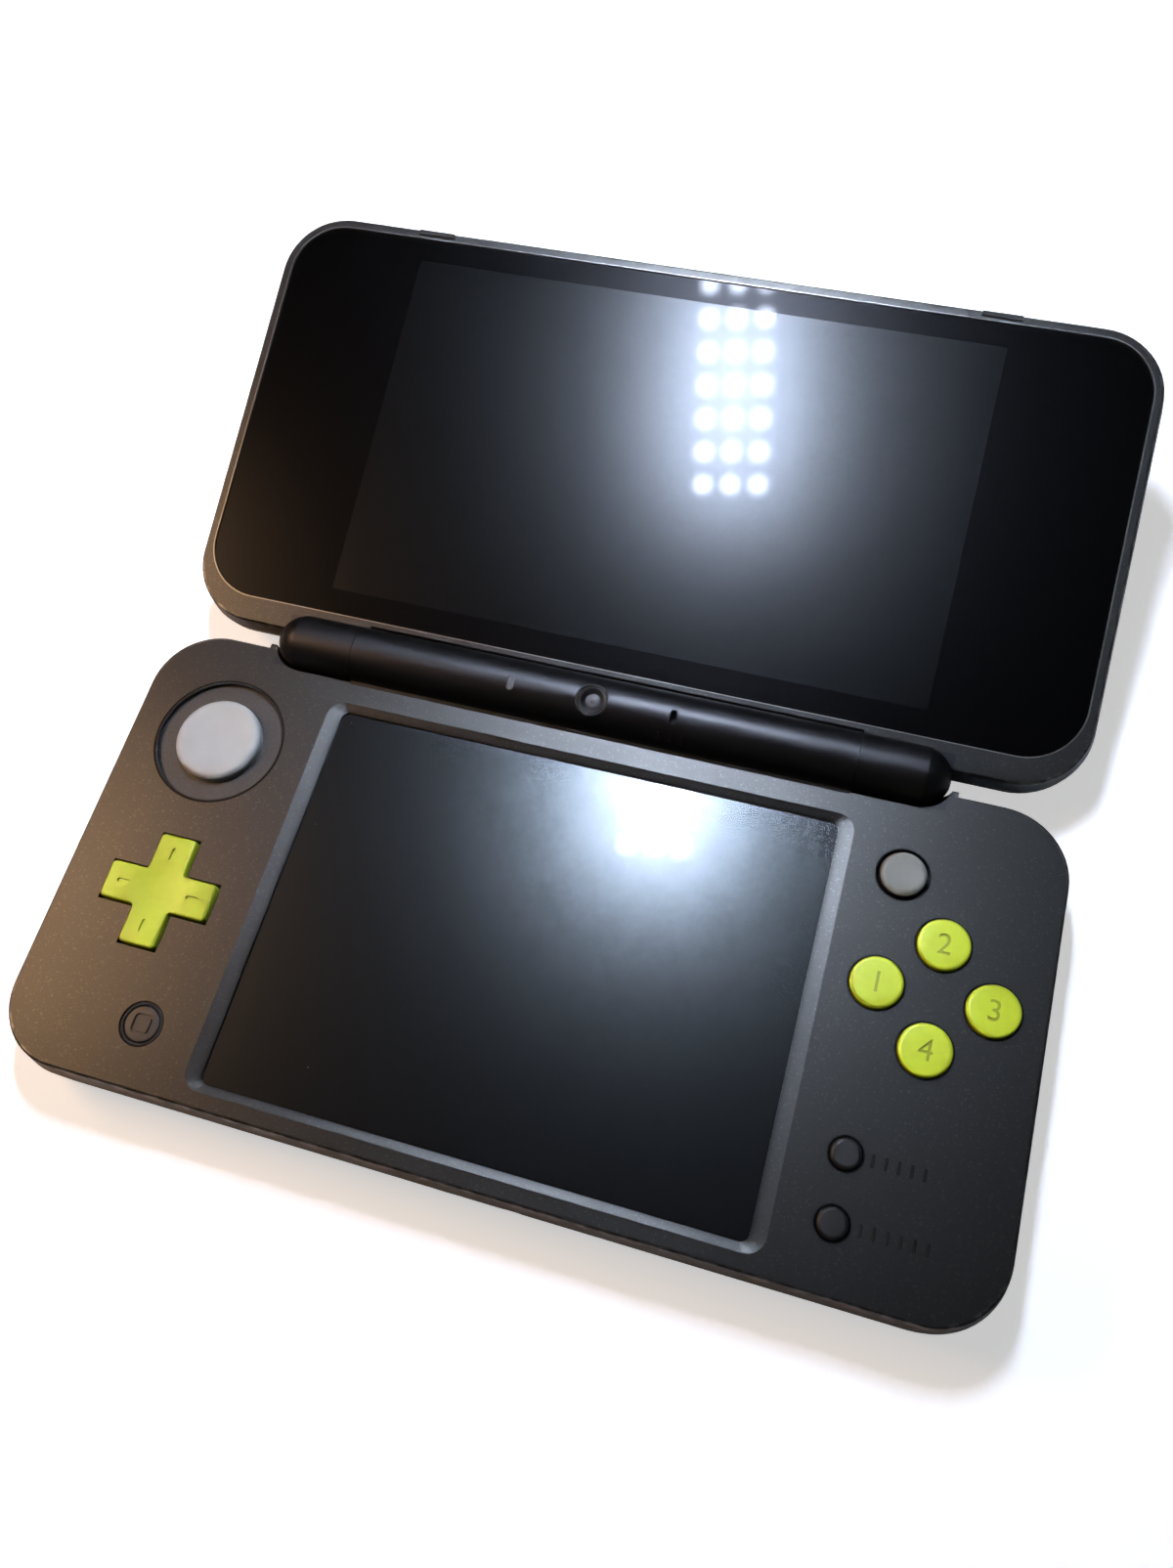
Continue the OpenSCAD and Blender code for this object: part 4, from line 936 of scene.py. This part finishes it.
class CONSOLE_OT_add_label_bars(bpy.types.Operator):
    """Emboss rows of plain bars where the small buttons and the microphone are labelled, near black
    as painted shade
    """

    bl_idname = "console.add_label_bars"
    bl_label = "Add Label Bars"

    def execute(self, context):
        sizes = context.scene.console_sizes
        # Painted shade: the bars are near black so that the embossed marks show as their shade.
        label_shade = key_plastic("label_marks_painted_shade", linear("#030303"), 0.85)
        rows = (
            ("rear_small_button", 5, 1.85 * MM),
            ("front_small_button", 6, 1.9 * MM),
        )
        for name, count, pitch in rows:
            button = middle(name)
            for index in range(count):
                place = (button.x + FIRST_LABEL_BAR + index * pitch, button.y, TOP_Z)
                deselect()
                bar = pill(sizes.bar, 0.55 * MM, 0.16 * MM, place, math.pi / 2)
                soften(bar)
                settle(bar, f"{name}_label_bar_{index + 1}", label_shade, "lower_case")
        for index, x in enumerate((-2, 0, 2), start=1):
            deselect()
            bar = pill(sizes.bar * 0.9, 0.4 * MM, 0.12 * MM, (0, 0, BARREL_R), math.pi / 2)
            soften(bar)
            take(bar)
            bpy.ops.object.transform_apply(location=True, rotation=True, scale=True)
            turn = Matrix.Rotation(MIC_LABEL_TURN, 4, "X")
            shift = Matrix.Translation(HINGE + Vector((middle("microphone").x + x * MM, 0, 0)))
            bar.data.transform(shift @ turn)
            settle(bar, f"microphone_label_bar_{index}", label_shade, "lower_case")
        return {"FINISHED"}


def soften(bar):
    """Rounds a bar's upper edge."""
    bevel_edges(bar, 0.05 * MM, 2, lambda a, b: min(a.z, b.z) > 0)
    bpy.ops.object.shade_smooth_by_angle(angle=math.radians(40))


class CONSOLE_OT_add_opening_liners(bpy.types.Operator):
    """Put thin black rings of painted shade in the gaps round the circle pad and the home button"""

    bl_idname = "console.add_opening_liners"
    bl_label = "Add Opening Shade Rings"

    def execute(self, context):
        shade_black = bpy.data.materials["black_elastomer_and_shade_rings"]
        rows = (
            ("circle_pad", 11.41, 11.05, -0.06, -0.4),
            ("home_button", 3.6, 3.06, -0.22, -0.5),
        )
        # Painted shade: each ring is a black piece that stands for the shade in the opening's gap.
        for name, outer, inner, top, foot in rows:
            profile = ((outer, foot), (inner, foot), (inner, top - 0.05), (inner + 0.05, top))
            ring = turned((*profile, (outer, top), (outer, foot)), name)
            place = middle(name)
            ring.data.transform(Matrix.Translation((place.x, place.y, TOP_Z)))
            settle(ring, name + "_shade_ring", shade_black, "lower_case")
        return {"FINISHED"}


class CONSOLE_OT_add_camera_parts(bpy.types.Operator):
    """Add the inner camera's ring, cone and lens, and the lenses of the outer cameras"""

    bl_idname = "console.add_camera_parts"
    bl_label = "Add Camera Parts"

    def execute(self, context):
        housing = key_plastic("turned_lens_ring", linear("#111112"), 0.34)
        lens = plain_finish("anodised_lens_stop", linear("#45484c"), 0.5, spacing=0.3 * MM)
        pupil = lens_glass("coated_lens", linear("#0a0b0d"), 0.3)
        turn = Matrix.Translation(HINGE) @ Matrix.Rotation(CAMERA_TILT, 4, "X")
        axis_x = middle("inner_camera").x
        rise = BARREL_R
        ring_profile = ((2.72, -0.1), (2.62, -0.02), (2.5, -0.1), (2.42, -0.5))
        lens_profile = ((1.32, -1.26), (1.2, -1.12), (0.9, -1.06), (0.42, -1.03))
        pupil_profile = ((0.46, -1.06), (0.4, -1.02), (0.2, -1.0), (0.0, -1.0))
        rows = (
            ("inner_camera_ring", housing, ring_profile),
            ("inner_camera_lens", lens, lens_profile),
            ("inner_camera_pupil", pupil, pupil_profile),
        )
        for name, material, profile in rows:
            piece = turned(profile, name)
            piece.data.transform(turn @ Matrix.Translation((axis_x, 0, rise)))
            settle(piece, name, material, "lower_case")
        low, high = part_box("outer_cameras")
        for side, x in (("left", low.x + 4 * MM), ("right", high.x - 4 * MM)):
            profile = ((1.45, -0.02), (1.1, 0.2), (0.6, 0.33), (0.0, 0.38))
            piece = turned(profile, "outer_lens")
            flip = Matrix.Rotation(math.pi, 4, "X")
            place = Vector((x, middle("outer_cameras").y, OUTER_LENS_Z))
            piece.data.transform(Matrix.Translation(place) @ flip)
            settle(piece, f"{side}_outer_lens", lens, "lower_case")
        return {"FINISHED"}


def turned(profile, name):
    """Solid of revolution round Z from (radius, height) pairs in millimetres."""
    mesh = bpy.data.meshes.new(name)
    points = [(r * MM, 0, z * MM) for r, z in profile]
    mesh.from_pydata(points, [(i, i + 1) for i in range(len(points) - 1)], [])
    piece = bpy.data.objects.new(name, mesh)
    bpy.context.scene.collection.objects.link(piece)
    take(piece)
    bpy.ops.object.mode_set(mode="EDIT")
    bpy.ops.mesh.select_all(action="SELECT")
    bpy.ops.mesh.spin(steps=64, angle=2 * math.pi, center=(0, 0, 0), axis=(0, 0, 1))
    bpy.ops.mesh.select_all(action="SELECT")
    bpy.ops.mesh.remove_doubles(threshold=0.0005 * MM)
    bpy.ops.mesh.normals_make_consistent(inside=False)
    bpy.ops.object.mode_set(mode="OBJECT")
    if sum(p.normal.z * p.area for p in piece.data.polygons) < 0:
        piece.data.flip_normals()
    bpy.ops.object.shade_smooth()
    return piece


class CONSOLE_OT_add_studio(bpy.types.Operator):
    """Set up the floor, the lamps, the room and the camera"""

    bl_idname = "console.add_studio"
    bl_label = "Add Studio"

    def execute(self, context):
        studio = context.scene.console_studio
        self.floor()
        self.panel_lamp(studio)
        self.warm_lamp("#ffcc9a", 0.38)
        self.room(context.scene, studio)
        self.camera(context.scene, studio)
        return {"FINISHED"}

    def floor(self):
        deselect()
        bpy.ops.mesh.primitive_plane_add(size=8, location=(0, 0, 0))
        floor = bpy.context.object
        floor.name = "floor"
        material, tree, shader, place = new_material("pale_studio_floor")
        mottle = noise(tree, place, 60 * MM)
        shade = mixed(tree, mottle, linear("#e9e9e8"), linear("#efefee"))
        feed(tree, shader, "Base Color", shade)
        set_sockets(shader, Roughness=0.9, Specular_IOR_Level=0.0)
        path = add_node(tree, "ShaderNodeLightPath")
        feed(
            tree,
            shader,
            "Emission Strength",
            math_of(tree, "MULTIPLY", path.outputs["Is Camera Ray"], 0.55),
        )
        set_sockets(shader, Emission_Color=(1, 1, 1, 1))
        floor.data.materials.append(material)

    def panel_lamp(self, studio):
        """A small panel of round cells in rows of three."""
        deselect()
        bpy.ops.mesh.primitive_plane_add(size=1, location=studio.lamp_place)
        panel = bpy.context.object
        panel.name = "panel_lamp"
        panel.scale = (studio.lamp_size[0], studio.lamp_size[1], 1)
        panel.rotation_euler.x = math.pi
        bpy.ops.object.transform_apply(location=False, rotation=True, scale=True)
        panel.rotation_euler.z = LAMP_TURN
        material, tree, shader, place = new_material("panel_lamp_cells")
        pitch = (studio.lamp_size[0] / LAMP_COLUMNS, studio.lamp_size[1] / LAMP_ROWS, 1)
        half = (pitch[0] / 2, pitch[1] / 2, 0)
        grid = moved(tree, place, half)
        snapped = add_node(tree, "ShaderNodeVectorMath", {0: grid, 1: pitch}, operation="SNAP")
        corner = add_node(
            tree, "ShaderNodeVectorMath", {0: grid, 1: snapped.outputs[0]}, operation="SUBTRACT"
        )
        off = add_node(
            tree, "ShaderNodeVectorMath", {0: corner.outputs[0], 1: half}, operation="SUBTRACT"
        )
        flat = add_node(
            tree, "ShaderNodeVectorMath", {0: off.outputs[0], 1: (1, 1, 0)}, operation="MULTIPLY"
        )
        reach = add_node(tree, "ShaderNodeVectorMath", {0: flat.outputs[0]}, operation="LENGTH")
        cell = scaled(tree, reach.outputs["Value"], pitch[0] * 0.54, pitch[0] * 0.2, 0.1, 1.1)
        cell = math_of(tree, "POWER", cell, 2.0)
        set_sockets(shader, Base_Color=(0, 0, 0, 1), Emission_Color=(*linear("#dbe8ff"), 1))
        feed(
            tree, shader, "Emission Strength", math_of(tree, "MULTIPLY", cell, studio.lamp_strength)
        )
        panel.data.materials.append(material)
        panel.visible_camera = False
        panel.visible_shadow = False

    def warm_lamp(self, hex_colour, power):
        """A long soft lamp beside the left edge."""
        data = bpy.data.lights.new("warm_side_lamp", "AREA")
        data.shape = "RECTANGLE"
        data.size = 0.04
        data.size_y = 0.12
        data.energy = power
        data.color = linear(hex_colour)
        lamp = bpy.data.objects.new("warm_side_lamp", data)
        lamp.location = (-0.215, 0.015, 0.20)
        lamp.rotation_euler.y = math.radians(-38)
        lamp.visible_camera = False
        bpy.context.scene.collection.objects.link(lamp)

    def room(self, scene, studio):
        world = bpy.data.worlds.new("studio_room")
        scene.world = world
        world.use_nodes = True
        tree = world.node_tree
        tree.nodes.clear()
        path = add_node(tree, "ShaderNodeLightPath")
        strength = scaled(tree, path.outputs["Is Camera Ray"], 0, 1, studio.sky, 1.0)
        sky = add_node(
            tree, "ShaderNodeBackground", {"Color": (1, 1, 1, 1), "Strength": strength}
        )
        add_node(tree, "ShaderNodeOutputWorld", {"Surface": sky.outputs["Background"]})

    def camera(self, scene, studio):
        data = bpy.data.cameras.new("camera")
        data.sensor_width = 36
        data.lens = studio.camera_lens
        data.clip_start = 0.01
        camera = bpy.data.objects.new("camera", data)
        camera.location = studio.camera_place
        camera.rotation_euler = studio.camera_turn
        scene.collection.objects.link(camera)
        scene.camera = camera
        scene.view_settings.view_transform = "Standard"


class CONSOLE_PT_parts(bpy.types.Panel):
    """Buttons that make the console's finishes and small parts"""

    bl_idname = "CONSOLE_PT_parts"
    bl_label = "Handheld Console"
    bl_space_type = "VIEW_3D"
    bl_region_type = "UI"
    bl_category = "Console"

    def draw(self, context):
        for operator in OPERATORS:
            self.layout.operator(operator.bl_idname)
        for group in (
            context.scene.console_colours,
            context.scene.console_sizes,
            context.scene.console_studio,
        ):
            box = self.layout.box()
            for name in group.__annotations__:
                box.prop(group, name)


OPERATORS = (
    CONSOLE_OT_finish_cases,
    CONSOLE_OT_finish_screens,
    CONSOLE_OT_finish_controls,
    CONSOLE_OT_engrave_buttons,
    CONSOLE_OT_shape_direction_pad,
    CONSOLE_OT_add_label_bars,
    CONSOLE_OT_add_opening_liners,
    CONSOLE_OT_add_camera_parts,
    CONSOLE_OT_add_studio,
)
GROUPS = {
    "console_colours": ConsoleColours,
    "console_sizes": ConsoleSizes,
    "console_studio": ConsoleStudio,
}


def lid_level(name):
    """Lowest and highest corner of a lid node with the lid turned level about the hinge."""
    turn = Matrix.Rotation(-LID_TILT, 3, "X")
    points = [turn @ (v.co - HINGE) for v in NODES[name].data.vertices]
    return Vector(map(min, zip(*points))), Vector(map(max, zip(*points)))


PICTURE_LOW, PICTURE_HIGH = lid_level("upper_display")
PICTURE_BORDER = 1.6 * MM
PICTURE_MIDDLE = (PICTURE_LOW.y + PICTURE_HIGH.y) / 2
PICTURE_HALF_X = PICTURE_HIGH.x - PICTURE_BORDER
PICTURE_HALF_Y = (PICTURE_HIGH.y - PICTURE_LOW.y) / 2 - PICTURE_BORDER


def register():
    for group in GROUPS.values():
        bpy.utils.register_class(group)
    for name, group in GROUPS.items():
        setattr(bpy.types.Scene, name, bpy.props.PointerProperty(type=group))
    for operator in OPERATORS:
        bpy.utils.register_class(operator)
    bpy.utils.register_class(CONSOLE_PT_parts)


def unregister():
    bpy.utils.unregister_class(CONSOLE_PT_parts)
    for operator in reversed(OPERATORS):
        bpy.utils.unregister_class(operator)
    for name, group in GROUPS.items():
        delattr(bpy.types.Scene, name)
        bpy.utils.unregister_class(group)


def main():
    register()
    bpy.ops.console.finish_cases()
    bpy.ops.console.finish_screens()
    bpy.ops.console.finish_controls()
    bpy.ops.console.engrave_buttons()
    bpy.ops.console.shape_direction_pad()
    bpy.ops.console.add_label_bars()
    bpy.ops.console.add_opening_liners()
    bpy.ops.console.add_camera_parts()
    bpy.ops.console.add_studio()


if __name__ == "__main__":
    main()
